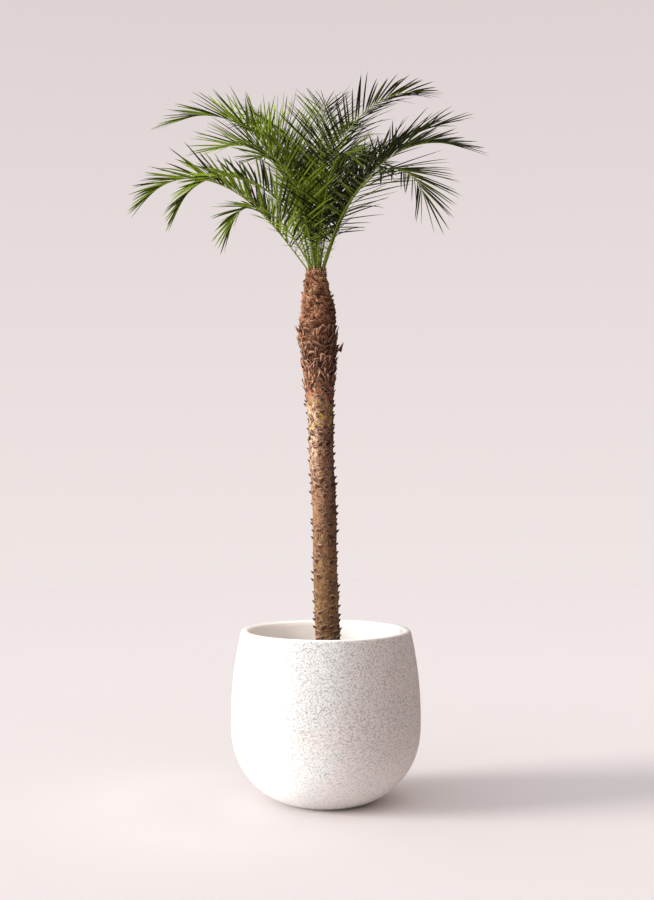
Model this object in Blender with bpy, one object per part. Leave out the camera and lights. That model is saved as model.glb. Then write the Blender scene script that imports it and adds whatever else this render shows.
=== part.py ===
"""Potted pygmy date palm: a bellied white pot, soil, a stubbed trunk and a crown of feather-shaped fronds.

Metres, +Z up. The origin is the centre of the pot's base. The front of the plant looks along -Y.
"""

import math
import random

import bmesh
import bpy
from mathutils import Quaternion, Vector
from mathutils.bvhtree import BVHTree

# Pieces that touch stand this far apart
SEAT_GAP = 0.0003
MERGE_DISTANCE = 0.00001

# Pot
POT_HEIGHT = 0.4512
POT_BELLY_RADIUS = 0.250
POT_BELLY_HEIGHT = 0.2135
POT_BASE_RADIUS = 0.0975
POT_RIM_RADIUS = 0.2231
POT_WALL = 0.018
POT_FLOOR = 0.030
POT_LIP = 0.006
POT_SIDES = 40
LOWER_STEPS = 8
UPPER_STEPS = 4
LOWER_FULLNESS = (2.45, 1.46)
UPPER_FULLNESS = 2.09
SLOPE_STEP = 0.002

# Soil
SOIL_LEVEL = POT_HEIGHT - 0.065
SOIL_MOUND = 0.006
SOIL_RELIEF = 0.003
SOIL_WALL_STEPS = 6
SOIL_STEP_EASE = 1.35
SOIL_CLEARANCE = 0.0004
SOIL_RINGS = (0.78, 0.50)
SOIL_SEED = 11

# Trunk: height, centre x and radius of the stem between its stubs
TRUNK_OUTLINE = (
    (0.386, 0.006, 0.0280),
    (0.430, 0.005, 0.0280),
    (0.510, 0.001, 0.0280),
    (0.620, -0.0026, 0.0280),
    (0.810, -0.0026, 0.0280),
    (0.915, -0.012, 0.0282),
    (1.000, -0.013, 0.0300),
    (1.063, -0.017, 0.0335),
    (1.105, -0.0185, 0.0370),
    (1.147, -0.0185, 0.0400),
    (1.190, -0.0185, 0.0455),
    (1.250, -0.022, 0.0465),
    (1.295, -0.021, 0.0425),
    (1.337, -0.024, 0.0345),
    (1.360, -0.0255, 0.0290),
    (1.400, -0.026, 0.0245),
)
FOOT_DEPTH = 0.120
FOOT_X = TRUNK_OUTLINE[0][1]
FOOT_RADIUS = TRUNK_OUTLINE[0][2]
FOOT_HOLE_RADIUS = FOOT_RADIUS + 0.001
FOOT_HOLE_SIDES = 24
STUBS_AROUND = 9
STUB_SPACING = 0.45
STUB_SPIRAL = 0.045
LOW_STUB = (0.0015, 0.0040)
HOOKED_STUB = (0.0065, 0.0100)
HOOKED_SHARE = 0.45
STUB_RISE = (0.15, 0.80)
STUB_FADE_HEIGHT = 1.26
STUB_FADE_LEAST = 0.20
TRUNK_SEED = 5

# Crown: where the petioles stand on the neck
NECK_TOP = TRUNK_OUTLINE[-1][0]
NECK_X = TRUNK_OUTLINE[-1][1]
OUTER_RING = 0.0192
INNER_RING = 0.0104
OUTER_BASE = (0.0082, 0.0060)
INNER_BASE = (0.0062, 0.0044)

# Fronds: name, ring, azimuth, first elevation, fall to the tip, length, lateness of the fall,
# roll of the blade about the rachis, and the size of its leaflets. Azimuth 0 is +X, 90 is +Y,
# and angles are in degrees.
FRONDS = (
    ("left_low", "outer", 184, 53, 114, 0.552, 2.5, 0, 0.95),
    ("left_mid", "outer", 207, 76, 152, 0.550, 1.5, 0, 0.82),
    ("left_front_low", "outer", 229, 47, 132, 0.400, 2.4, 0, 0.66),
    ("left_high", "inner", 168, 77, 102, 0.640, 2.35, -12, 1.0),
    ("front_left_high", "inner", 208, 86, 88, 0.440, 2.5, -30, 0.92),
    ("front_left", "inner", 242, 69, 102, 0.435, 2.3, -10, 0.92),
    ("front", "outer", 285, 76, 115, 0.480, 1.7, 10, 0.92),
    ("front_right", "outer", 308, 62, 137, 0.560, 1.85, 10, 1.0),
    ("right_low", "outer", 353, 72, 97, 0.547, 2.05, 10, 0.98),
    ("right_high", "inner", 8, 88, 97, 0.630, 2.3, 50, 1.05),
    ("right_mid", "outer", 28, 72, 59, 0.610, 1.45, 0, 1.0),
    ("back_right", "outer", 62, 74, 95, 0.580, 1.8, 0, 1.0),
    ("back", "outer", 100, 64, 105, 0.550, 1.8, 0, 1.0),
    ("back_left", "outer", 140, 79, 92, 0.570, 1.8, 0, 1.0),
    ("in_back_left", "inner", 125, 87, 92, 0.600, 1.9, -20, 1.0),
    ("in_back", "inner", 70, 88, 84, 0.565, 1.9, 20, 1.0),
    ("in_front", "inner", 275, 88, 90, 0.505, 2.0, 0, 1.0),
)
ROLL_BY = 0.35
CURVE_STEPS = 80
FROND_SEED = 100

# Rachis: width and height where the leaflets start and at the tip
RACHIS_START = (0.0066, 0.0050)
RACHIS_TIP = (0.0026, 0.0020)

# Leaflets and petiole spines
LEAFLETS_FROM = 0.20
LEAFLETS_TO = 0.975
LEAFLET_SPACING = 0.0225
LEAFLET_ROOTS = (0.0060, 0.0042)
LEAFLET_LENGTH = 0.148
LEAFLET_WIDTH = 0.0078
LEAFLET_THICKNESS = 0.0011
LEAFLET_WIDEST = 0.42
LEAFLET_ANGLES = (52, 23)
LEAFLET_ANGLE_EASE = 0.8
LEAFLET_LIFTS = (36, 12)
LEAFLET_TILT = 30
LEAFLET_SAG = 0.054
LEAFLET_SHORTEST = 0.42
LEAFLET_SWELL = (40, 151)
LEAFLET_TAPER_FROM = 0.6
LEAFLET_TAPER = 0.30
LEAFLET_NARROWEST = 0.7
TERMINAL_LENGTH = 0.060
TERMINAL_WIDEST = 0.35
TERMINAL_WIDTH = 0.0056
TERMINAL_DROP = 0.006
SPINE_PLACES = (0.085, 0.14)
SPINE_LENGTH = 0.026
SPINE_ROOT = 0.0024
SPINE_ANGLE = 58
SPINE_LIFT = 19
VARY_LIFT = 4
VARY_ANGLE = 3
VARY_LENGTH = (0.93, 1.04)

# Ways for a leaflet to stand clear of the others: extra lift, extra angle, share of its length
CLEAR_WAYS = (
    (0, 0, 1.0),
    (10, 0, 1.0),
    (-10, 0, 1.0),
    (0, -9, 1.0),
    (0, 10, 1.0),
    (20, -6, 1.0),
    (-20, -6, 1.0),
    (10, 12, 0.9),
    (-10, 12, 0.9),
    (0, -14, 0.85),
    (30, 0, 0.8),
    (-30, 0, 0.8),
    (0, 0, 0.7),
    (18, 8, 0.65),
    (-18, 8, 0.65),
    (0, 16, 0.5),
    (25, -10, 0.5),
    (-25, -10, 0.5),
    (0, 0, 0.38),
)
CLEARANCE = 0.0008
ROOT_SHARE = 0.12
STALK_TEST_STEPS = 28

# Spear
SPEAR_LENGTH = 0.300
SPEAR_RADIUS = 0.0030
SPEAR_SIDES = 6
SPEAR_STEPS = 6
SPEAR_LEAN = 0.05
SPEAR_TAPER = 0.72
SPEAR_FOLD = 0.8

# Colours
POT_COLOUR = (0.80, 0.775, 0.745)
SOIL_COLOUR = (0.060, 0.038, 0.024)
TRUNK_COLOUR = (0.190, 0.098, 0.048)
FROND_COLOUR = (0.060, 0.130, 0.022)
SPEAR_COLOUR = (0.180, 0.270, 0.060)


def clear_scene():
    """Start from an empty scene."""
    for obj in list(bpy.data.objects):
        bpy.data.objects.remove(obj, do_unlink=True)


def material(name, colour, roughness):
    """A plain material with the piece's colour."""
    made = bpy.data.materials.new(name)
    made.use_nodes = True
    shader = made.node_tree.nodes["Principled BSDF"]
    shader.inputs["Base Color"].default_value = (*colour, 1.0)
    shader.inputs["Roughness"].default_value = roughness
    shader.inputs["Metallic"].default_value = 0.0
    return made


def add_piece(name, bm, finish, smooth_angle=None):
    """Make the closed mesh an object of its own."""
    bmesh.ops.recalc_face_normals(bm, faces=bm.faces)
    mesh = bpy.data.meshes.new(name)
    bm.to_mesh(mesh)
    bm.free()
    mesh.materials.append(finish)
    if smooth_angle is not None:
        mesh.shade_smooth()
        mesh.set_sharp_from_angle(angle=math.radians(smooth_angle))
    obj = bpy.data.objects.new(name, mesh)
    bpy.context.scene.collection.objects.link(obj)
    return obj


def mix(a, b, share):
    """The value that lies this share of the way from a to b."""
    return a + (b - a) * share


def turned(profile, sides):
    """Turn a profile of (radius, height) points about the Z axis."""
    bm = bmesh.new()
    verts = [bm.verts.new((radius, 0.0, height)) for radius, height in profile]
    edges = [bm.edges.new(pair) for pair in zip(verts, verts[1:])]
    bmesh.ops.spin(
        bm,
        geom=verts + edges,
        cent=(0, 0, 0),
        axis=(0, 0, 1),
        angle=math.tau,
        steps=sides,
        use_merge=True,
    )
    bmesh.ops.remove_doubles(bm, verts=bm.verts, dist=MERGE_DISTANCE)
    return bm


def pot_radius(height):
    """The pot's outer radius at a height."""
    if height < POT_BELLY_HEIGHT:
        below = 1 - height / POT_BELLY_HEIGHT
        first, second = LOWER_FULLNESS
        share = (1 - below**first) ** (1 / second)
        return mix(POT_BASE_RADIUS, POT_BELLY_RADIUS, share)
    above = (height - POT_BELLY_HEIGHT) / (POT_HEIGHT - POT_BELLY_HEIGHT)
    return mix(POT_BELLY_RADIUS, POT_RIM_RADIUS, above**UPPER_FULLNESS)


def pot_inner_radius(height, inset=0.0):
    """The radius of the pot's inner wall, or of a surface that lies inset from it."""
    slope = (pot_radius(height + SLOPE_STEP) - pot_radius(height - SLOPE_STEP)) / (2 * SLOPE_STEP)
    return pot_radius(height) - (POT_WALL + inset) * math.sqrt(1 + slope * slope)


def wall_heights():
    """Heights on the inner wall from its floor to the soil's surface."""
    steps = range(SOIL_WALL_STEPS + 1)
    return [mix(POT_FLOOR, SOIL_LEVEL, (n / SOIL_WALL_STEPS) ** SOIL_STEP_EASE) for n in steps]


def pot_profile():
    """The pot's section, from the middle of its base round the lip to the middle of its floor."""
    points = [(0.0, 0.0)]
    for n in range(LOWER_STEPS + 1):
        height = POT_BELLY_HEIGHT * (1 - math.cos(math.radians(90 * n / LOWER_STEPS)))
        points.append((pot_radius(height), height))
    shoulder = POT_HEIGHT - POT_LIP
    for n in range(1, UPPER_STEPS + 1):
        height = mix(POT_BELLY_HEIGHT, shoulder, n / UPPER_STEPS)
        points.append((pot_radius(height), height))
    outer_centre = POT_RIM_RADIUS - POT_LIP
    inner_centre = POT_RIM_RADIUS - POT_WALL + POT_LIP
    for centre, angles in ((outer_centre, (45, 90)), (inner_centre, (90, 135))):
        for angle in map(math.radians, angles):
            points.append((centre + POT_LIP * math.cos(angle), shoulder + POT_LIP * math.sin(angle)))
    points.append((pot_inner_radius(shoulder), shoulder))
    for height in reversed(wall_heights()):
        points.append((pot_inner_radius(height), height))
    points.append((0.0, POT_FLOOR))
    return points


def make_pot():
    """The bellied pot with its thick rim and solid base."""
    finish = material("sandy_white", POT_COLOUR, 0.85)
    return add_piece("pot", turned(pot_profile(), POT_SIDES), finish, 40)


def make_soil():
    """The potting mix, with its slightly uneven top and the plain hole for the trunk."""
    draw = random.Random(SOIL_SEED)
    heights = wall_heights()
    bottom = heights[0] + SEAT_GAP
    points = [(0.0, bottom), (pot_inner_radius(bottom, SOIL_CLEARANCE), bottom)]
    points += [(pot_inner_radius(height, SOIL_CLEARANCE), height) for height in heights[1:]]
    edge = points[-1][0]
    for share in SOIL_RINGS:
        points.append((edge * share, SOIL_LEVEL + SOIL_MOUND * (1 - share)))
    points.append((0.0, SOIL_LEVEL + SOIL_MOUND))
    bm = turned(points, POT_SIDES)
    for vert in bm.verts:
        if vert.co.z > SOIL_LEVEL + SEAT_GAP:
            vert.co.z += draw.uniform(-SOIL_RELIEF, SOIL_RELIEF)
    bmesh.ops.triangulate(bm, faces=bm.faces)
    soil = add_piece("soil", bm, material("potting_mix", SOIL_COLOUR, 0.95))
    cutter = make_hole_cutter()
    cut = soil.modifiers.new("trunk_hole", "BOOLEAN")
    cut.operation = "DIFFERENCE"
    cut.object = cutter
    return soil


def make_hole_cutter():
    """The cylinder that leaves the blind hole for the trunk's foot."""
    top = SOIL_LEVEL + FOOT_HOLE_RADIUS
    bottom = SOIL_LEVEL - FOOT_DEPTH - SEAT_GAP
    bm = bmesh.new()
    bmesh.ops.create_cone(
        bm,
        cap_ends=True,
        segments=FOOT_HOLE_SIDES,
        radius1=FOOT_HOLE_RADIUS,
        radius2=FOOT_HOLE_RADIUS,
        depth=top - bottom,
    )
    bmesh.ops.translate(bm, verts=bm.verts, vec=(FOOT_X, 0, (top + bottom) / 2))
    cutter = add_piece("trunk_hole_cutter", bm, material("cutter", (1, 0, 0), 0.5))
    cutter.hide_render = True
    cutter.display_type = "WIRE"
    return cutter


def trunk_at(height):
    """The stem's centre x and radius at a height."""
    for (z0, x0, r0), (z1, x1, r1) in zip(TRUNK_OUTLINE, TRUNK_OUTLINE[1:]):
        if height <= z1:
            share = max(0.0, (height - z0) / (z1 - z0))
            share = share * share * (3 - 2 * share)
            return mix(x0, x1, share), mix(r0, r1, share)
    return TRUNK_OUTLINE[-1][1], TRUNK_OUTLINE[-1][2]


def stub_heights():
    """Heights of the lattice rings that the stubs grow from, closer where the stem is thinner."""
    start = SOIL_LEVEL + SOIL_MOUND + SOIL_RELIEF
    heights = [start]
    while heights[-1] < NECK_TOP:
        heights.append(heights[-1] + STUB_SPACING * trunk_at(heights[-1])[1])
    scale = (NECK_TOP - start) / (heights[-1] - start)
    return [start + (height - start) * scale for height in heights]


def stub_reach(height, draw):
    """How far a leaf-base stub stands out of the stem: most are low, and the rest are hooks."""
    low, high = HOOKED_STUB if draw.random() < HOOKED_SHARE else LOW_STUB
    fade = (NECK_TOP - height) / (NECK_TOP - STUB_FADE_HEIGHT)
    return draw.uniform(low, high) * min(1.0, max(STUB_FADE_LEAST, fade))


def make_trunk():
    """The stem as a lattice of diamond leaf scars, each drawn out into an upward stub."""
    draw = random.Random(TRUNK_SEED)
    bm = bmesh.new()
    heights = stub_heights()
    rings = []
    for k, height in enumerate(heights):
        centre, radius = trunk_at(height)
        rings.append(trunk_ring(bm, centre, radius, height, 0.5 * (k % 2), STUB_SPIRAL * k))
    scars = []
    for k in range(1, len(rings) - 1):
        for i in range(STUBS_AROUND):
            middle = (i + k % 2) % STUBS_AROUND
            right = (i + 1) % STUBS_AROUND
            corners = (rings[k - 1][middle], rings[k][right], rings[k + 1][middle], rings[k][i])
            scars.append(bm.faces.new(corners))
    last = len(rings) - 1
    for k, beside in ((0, 1), (last, last - 1)):
        for i in range(STUBS_AROUND):
            middle = (i + k % 2) % STUBS_AROUND
            bm.faces.new((rings[k][i], rings[k][(i + 1) % STUBS_AROUND], rings[beside][middle]))
    foot = trunk_ring(bm, FOOT_X, FOOT_RADIUS, SOIL_LEVEL - FOOT_DEPTH, 0, 0)
    for i in range(STUBS_AROUND):
        j = (i + 1) % STUBS_AROUND
        bm.faces.new((foot[i], foot[j], rings[0][j], rings[0][i]))
    bm.faces.new(foot)
    bm.faces.new(rings[-1])
    raised = bmesh.ops.poke(bm, faces=scars)
    for vert in raised["verts"]:
        centre, radius = trunk_at(vert.co.z)
        outward = Vector((vert.co.x - centre, vert.co.y, 0)).normalized()
        reach = stub_reach(vert.co.z, draw)
        rise = STUB_SPACING * radius * mix(*STUB_RISE, reach / HOOKED_STUB[1])
        vert.co = Vector((centre, 0, vert.co.z + rise)) + outward * (radius + reach)
    return add_piece("trunk", bm, material("trunk_bark", TRUNK_COLOUR, 0.9))


def trunk_ring(bm, centre, radius, height, shift, twist):
    """One ring of the lattice's corners."""
    ring = []
    for i in range(STUBS_AROUND):
        angle = (i + shift) * math.tau / STUBS_AROUND + twist
        ring.append(bm.verts.new((centre + radius * math.cos(angle), radius * math.sin(angle), height)))
    return ring


class Frond:
    """One feather-shaped leaf: its curve, its frame along the curve and its growing mesh."""

    def __init__(self, row, slot, draw):
        name, ring, azimuth, rise, fall, length, lateness, roll, leaflet_size = row
        self.name = name
        self.azimuth = math.radians(azimuth)
        self.length = length
        self.roll = math.radians(roll)
        self.leaflet_size = leaflet_size
        self.draw = draw
        radius = OUTER_RING if ring == "outer" else INNER_RING
        self.base_size = OUTER_BASE if ring == "outer" else INNER_BASE
        self.slot = slot
        point = Vector((NECK_X + radius * math.cos(slot), radius * math.sin(slot), NECK_TOP + SEAT_GAP))
        self.points = [point]
        outward = Vector((math.cos(self.azimuth), math.sin(self.azimuth), 0))
        for n in range(CURVE_STEPS):
            share = (n + 0.5) / CURVE_STEPS
            elevation = math.radians(rise - fall * share**lateness)
            heading = outward * math.cos(elevation) + Vector((0, 0, math.sin(elevation)))
            point = point + heading * (length / CURVE_STEPS)
            self.points.append(point)
        self.side = Vector((-math.sin(self.azimuth), math.cos(self.azimuth), 0))
        self.bm = bmesh.new()
        self.roots = []
        self.spine_roots = []

    def at(self, share):
        """The point, the heading, the side and the upper face's normal at a share of the length."""
        place = min(max(share, 0.0), 1.0) * CURVE_STEPS
        n = min(int(place), CURVE_STEPS - 1)
        heading = (self.points[n + 1] - self.points[n]).normalized()
        point = self.points[n].lerp(self.points[n + 1], place - n)
        turn = Quaternion(heading, self.roll * min(1.0, share / ROLL_BY))
        side = turn @ self.side
        return point, heading, side, heading.cross(side)

    def size(self, share):
        """The rachis's half width and half height."""
        if share < LEAFLETS_FROM:
            part = share / LEAFLETS_FROM
            width = mix(self.base_size[0], RACHIS_START[0], part)
            return width / 2, mix(self.base_size[1], RACHIS_START[1], part) / 2
        part = (share - LEAFLETS_FROM) / (1 - LEAFLETS_FROM)
        return mix(RACHIS_START[0], RACHIS_TIP[0], part) / 2, mix(RACHIS_START[1], RACHIS_TIP[1], part) / 2

    def section(self, share):
        """The rachis's four corners: left top, right top, right bottom and left bottom."""
        point, _, side, up = self.at(share)
        width, height = self.size(share)
        return [self.bm.verts.new(corner) for corner in box_corners(point, side * width, up * height)]

    def foot(self):
        """The petiole's flat base on the neck."""
        width, height = self.base_size[0] / 2, self.base_size[1] / 2
        side = Vector((-math.sin(self.slot), math.cos(self.slot), 0))
        inward = Vector((-math.cos(self.slot), -math.sin(self.slot), 0))
        corners = box_corners(self.points[0], side * width, inward * height)
        return [self.bm.verts.new(corner) for corner in corners]

    def grow_rachis(self):
        """The tapering stalk, with a short stretch left open on both sides for each pair of leaflets."""
        count = round((LEAFLETS_TO - LEAFLETS_FROM) * self.length / LEAFLET_SPACING)
        places = [(share, SPINE_ROOT, self.spine_roots) for share in SPINE_PLACES]
        for n in range(count):
            share = mix(LEAFLETS_FROM, LEAFLETS_TO, n / (count - 1))
            places.append((share, mix(*LEAFLET_ROOTS, n / (count - 1)), self.roots))
        last = self.foot()
        self.bm.faces.new(last)
        for share, root, roots in places:
            half = root / self.length / 2
            back, front = self.section(share - half), self.section(share + half)
            self.wrap(last, back, range(4))
            self.wrap(back, front, (0, 2))
            for sign, top, bottom in ((-1, 1, 2), (1, 0, 3)):
                roots.append((share, sign, (back[top], back[bottom], front[bottom], front[top])))
            last = front
        self.grow_terminal(last)

    def wrap(self, first, second, sides):
        """Faces between two sections, on the sides that are named."""
        for side in sides:
            after = (side + 1) % 4
            self.bm.faces.new((first[side], first[after], second[after], second[side]))

    def grow_terminal(self, last):
        """The leaflet in line with the rachis at its tip."""
        middle, across, thick, tip = self.terminal_shape()
        ring = [self.bm.verts.new(corner) for corner in box_corners(middle, across, thick)]
        self.wrap(last, ring, range(4))
        self.add_spine(ring, tip)

    def terminal_shape(self):
        """The last leaflet's middle, its half width and half thickness as vectors, and its tip."""
        point, heading, side, up = self.at(1.0)
        middle = point + heading * TERMINAL_LENGTH * TERMINAL_WIDEST
        tip = point + heading * TERMINAL_LENGTH - Vector((0, 0, TERMINAL_DROP))
        return middle, side * TERMINAL_WIDTH / 2, up * LEAFLET_THICKNESS / 2, tip

    def stalk(self):
        """The stalk and its last leaflet on their own, for testing what comes near them."""
        points = []
        for n in range(STALK_TEST_STEPS + 1):
            point, _, side, up = self.at(n / STALK_TEST_STEPS)
            width, height = self.size(n / STALK_TEST_STEPS)
            points += box_corners(point, side * width, up * height)
        middle, across, thick, tip = self.terminal_shape()
        points += box_corners(middle, across, thick) + box_corners(tip, across * 0, thick)
        return Obstacle(points, tube_triangles(4, len(points) // 4))

    def leaflet_shape(self, share, sign, root, way):
        """A leaflet's middle, its half width and half thickness as vectors, and its tip."""
        lift_more, angle_more, length_share = way
        part = (share - LEAFLETS_FROM) / (LEAFLETS_TO - LEAFLETS_FROM)
        _, heading, side, up = self.at(share)
        angle = math.radians(mix(*LEAFLET_ANGLES, part**LEAFLET_ANGLE_EASE) + angle_more)
        lift = math.radians(mix(*LEAFLET_LIFTS, part) + lift_more)
        across = side * sign * math.cos(lift) + up * math.sin(lift)
        out = heading * math.cos(angle) + across * math.sin(angle)
        outward = across * math.cos(angle) - heading * math.sin(angle)
        upward = out.cross(outward) * sign
        tilt = math.radians(LEAFLET_TILT)
        wide = outward * math.cos(tilt) + upward * math.sin(tilt)
        thick = upward * math.cos(tilt) - outward * math.sin(tilt)
        swell = mix(LEAFLET_SHORTEST, 1.0, math.sin(math.radians(mix(*LEAFLET_SWELL, part))))
        taper = 1 - LEAFLET_TAPER * max(0.0, part - LEAFLET_TAPER_FROM) / (1 - LEAFLET_TAPER_FROM)
        length = LEAFLET_LENGTH * self.leaflet_size * swell * taper * length_share
        width = LEAFLET_WIDTH * mix(1.0, LEAFLET_NARROWEST, part)
        start = sum((vert.co for vert in root), Vector()) / 4
        middle = start + out * length * LEAFLET_WIDEST
        tip = start + out * length - Vector((0, 0, LEAFLET_SAG * length))
        return middle, wide * width / 2, thick * LEAFLET_THICKNESS / 2, tip

    def add_leaflet(self, root, shape):
        """Faces of one leaflet, split alike on its upper and lower faces."""
        middle, wide, thick, tip = shape
        verts = root + tuple(self.bm.verts.new(corner) for corner in blade_corners(middle, wide, thick))
        verts += (self.bm.verts.new(tip),)
        for triangle in LEAFLET_TRIANGLES:
            self.bm.faces.new([verts[n] for n in triangle])

    def add_spine(self, root, tip):
        """Faces that draw four corners together in a point."""
        end = self.bm.verts.new(tip)
        for n in range(4):
            self.bm.faces.new((root[n], root[(n + 1) % 4], end))

    def close(self, root):
        """The plain side of the stalk where nothing grows."""
        self.bm.faces.new(root)


class Obstacle:
    """A small closed shape that others must stay clear of."""

    def __init__(self, points, triangles):
        self.low = [min(point[axis] for point in points) for axis in range(3)]
        self.high = [max(point[axis] for point in points) for axis in range(3)]
        self.tree = BVHTree.FromPolygons(points, triangles)

    def touches(self, other):
        """Whether the two surfaces cross."""
        for axis in range(3):
            if self.low[axis] > other.high[axis] or other.low[axis] > self.high[axis]:
                return False
        return bool(self.tree.overlap(other.tree))


def box_corners(middle, across, up):
    """Four corners about a middle: left top, right top, right bottom and left bottom."""
    return [middle + across + up, middle - across + up, middle - across - up, middle + across - up]


def blade_corners(middle, wide, thick):
    """A blade's corners at its widest: outer top, outer bottom, inner bottom and inner top."""
    return [middle + wide + thick, middle + wide - thick, middle - wide - thick, middle - wide + thick]


def tube_triangles(sides, rings):
    """Triangles between the rings of a tube whose points follow one another."""
    triangles = []
    for low in range(0, sides * (rings - 1), sides):
        for n in range(sides):
            first, second = low + n, low + (n + 1) % sides
            triangles += [(first, second, second + sides), (first, second + sides, first + sides)]
    return triangles


def leaflet_triangles():
    """Triangles between a leaflet's root corners 0 to 3, its middle corners 4 to 7 and its tip 8."""
    upper = 3
    triangles = []
    for n in range(4):
        after = (n + 1) % 4
        if n == upper:
            triangles += [(n, after, 4 + n), (after, 4 + after, 4 + n)]
        else:
            triangles += [(n, after, 4 + after), (n, 4 + after, 4 + n)]
        triangles.append((4 + n, 4 + after, 8))
    return triangles


LEAFLET_TRIANGLES = leaflet_triangles()
SPINE_TRIANGLES = [(0, 1, 4), (1, 2, 4), (2, 3, 4), (3, 0, 4)]


def leaflet_obstacle(root, shape, extra, begin):
    """The leaflet from a share of the way out of its root, longer, wider and thicker by extra."""
    middle, wide, thick, tip = shape
    wider = wide + wide.normalized() * extra
    corners = blade_corners(middle, wider, thick + thick.normalized() * extra)
    near = [vert.co.lerp(corner, begin) for vert, corner in zip(root, corners)]
    beyond = tip + (tip - middle).normalized() * extra
    return Obstacle(near + corners + [beyond], LEAFLET_TRIANGLES)


def slots(ring):
    """Where each frond of a ring stands: evenly spaced, in the order of their azimuths."""
    rows = sorted((row for row in FRONDS if row[1] == ring), key=lambda row: row[2])
    step = 360 / len(rows)
    start = sum(row[2] - n * step for n, row in enumerate(rows)) / len(rows)
    return {row[0]: math.radians(start + n * step) for n, row in enumerate(rows)}


def make_fronds():
    """All fronds. Each leaflet is bent clear of every other frond, and left out where it can't be."""
    finish = material("frond_green", FROND_COLOUR, 0.45)
    places = {**slots("outer"), **slots("inner")}
    fronds = []
    for n, row in enumerate(FRONDS):
        frond = Frond(row, places[row[0]], random.Random(FROND_SEED + n))
        frond.grow_rachis()
        fronds.append(frond)
    stalks = [frond.stalk() for frond in fronds]
    spear = [point for ring in spear_rings() for point in ring]
    grown = [Obstacle(spear, tube_triangles(SPEAR_SIDES, SPEAR_STEPS + 1))]
    for frond, own in zip(fronds, stalks):
        others = [stalk for stalk in stalks if stalk is not own]
        for share, sign, root in frond.spine_roots:
            grow_spine(frond, share, sign, root, others, grown)
        for share, sign, root in frond.roots:
            grow_leaflet(frond, share, sign, root, own, others, grown)
    for frond in fronds:
        add_piece("frond_" + frond.name, frond.bm, finish)


def grow_spine(frond, share, sign, root, others, grown):
    """A stiff thin spine low on the petiole, where there is room for it."""
    _, heading, side, up = frond.at(share)
    angle, lift = math.radians(SPINE_ANGLE), math.radians(SPINE_LIFT)
    across = side * sign * math.cos(lift) + up * math.sin(lift)
    start = sum((vert.co for vert in root), Vector()) / 4
    tip = start + (heading * math.cos(angle) + across * math.sin(angle)) * SPINE_LENGTH
    thorn = Obstacle([vert.co for vert in root] + [tip], SPINE_TRIANGLES)
    if any(thorn.touches(other) for other in others + grown):
        frond.close(root)
    else:
        grown.append(thorn)
        frond.add_spine(root, tip)


def grow_leaflet(frond, share, sign, root, own, others, grown):
    """A leaflet in the first way that stands clear of all that has grown."""
    lift = frond.draw.uniform(-VARY_LIFT, VARY_LIFT)
    swing = frond.draw.uniform(-VARY_ANGLE, VARY_ANGLE)
    size = frond.draw.uniform(*VARY_LENGTH)
    for lift_more, angle_more, length_share in CLEAR_WAYS:
        way = (lift_more + lift, angle_more + swing, length_share * size)
        shape = frond.leaflet_shape(share, sign, root, way)
        if leaflet_obstacle(root, shape, CLEARANCE, ROOT_SHARE).touches(own):
            continue
        guard = leaflet_obstacle(root, shape, CLEARANCE, 0.0)
        if not any(guard.touches(other) for other in others + grown):
            grown.append(leaflet_obstacle(root, shape, 0.0, 0.0))
            frond.add_leaflet(root, shape)
            return
    frond.close(root)


def spear_rings():
    """Points of the spear's folded sections, from its foot to its tip."""
    base = Vector((NECK_X, 0, NECK_TOP + SEAT_GAP))
    rings = []
    for k in range(SPEAR_STEPS + 1):
        share = k / SPEAR_STEPS
        radius = SPEAR_RADIUS * (1 - SPEAR_TAPER * share**1.5)
        centre = base + Vector((SPEAR_LEAN * share**2, 0, share)) * SPEAR_LENGTH
        ring = []
        for i in range(SPEAR_SIDES):
            angle = math.tau * i / SPEAR_SIDES
            reach = radius * (1.0 if i % 2 else SPEAR_FOLD)
            ring.append(centre + Vector((math.cos(angle), math.sin(angle), 0)) * reach)
        rings.append(ring)
    return rings


def make_spear():
    """The unopened youngest leaf: a slim folded rod that stands in the middle of the crown."""
    bm = bmesh.new()
    rings = [[bm.verts.new(point) for point in ring] for ring in spear_rings()]
    for low, high in zip(rings, rings[1:]):
        for i in range(SPEAR_SIDES):
            j = (i + 1) % SPEAR_SIDES
            bm.faces.new((low[i], low[j], high[j], high[i]))
    bm.faces.new(rings[0])
    bm.faces.new(rings[-1])
    return add_piece("spear", bm, material("spear_green", SPEAR_COLOUR, 0.5))


def main():
    """Build the whole plant."""
    clear_scene()
    make_pot()
    make_soil()
    make_trunk()
    make_fronds()
    make_spear()


if __name__ == "__main__":
    main()
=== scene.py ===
"""The looks of a potted pygmy date palm: sandy pot, potting mix, bark, fronds, floor, light and camera."""

import math
import random

import bmesh
import bpy
import numpy as np
from bpy.props import FloatProperty, FloatVectorProperty, IntProperty, PointerProperty
from mathutils import Matrix, Quaternion, Vector, noise


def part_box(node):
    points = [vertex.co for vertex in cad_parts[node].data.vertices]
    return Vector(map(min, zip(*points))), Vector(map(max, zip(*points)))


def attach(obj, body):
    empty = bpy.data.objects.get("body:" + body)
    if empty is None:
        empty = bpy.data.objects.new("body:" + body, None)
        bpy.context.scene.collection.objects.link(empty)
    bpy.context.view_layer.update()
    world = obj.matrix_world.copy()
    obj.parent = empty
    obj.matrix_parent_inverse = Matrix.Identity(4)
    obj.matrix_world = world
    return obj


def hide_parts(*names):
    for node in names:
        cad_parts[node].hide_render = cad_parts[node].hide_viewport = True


bl_info = {
    "name": "Potted date palm",
    "version": (1, 0, 0),
    "blender": (4, 5, 0),
    "location": "3D View > Sidebar > Palm",
    "description": "Dresses the potted palm's solids with pot, bark and leaf detail",
    "category": "Object",
}

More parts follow.
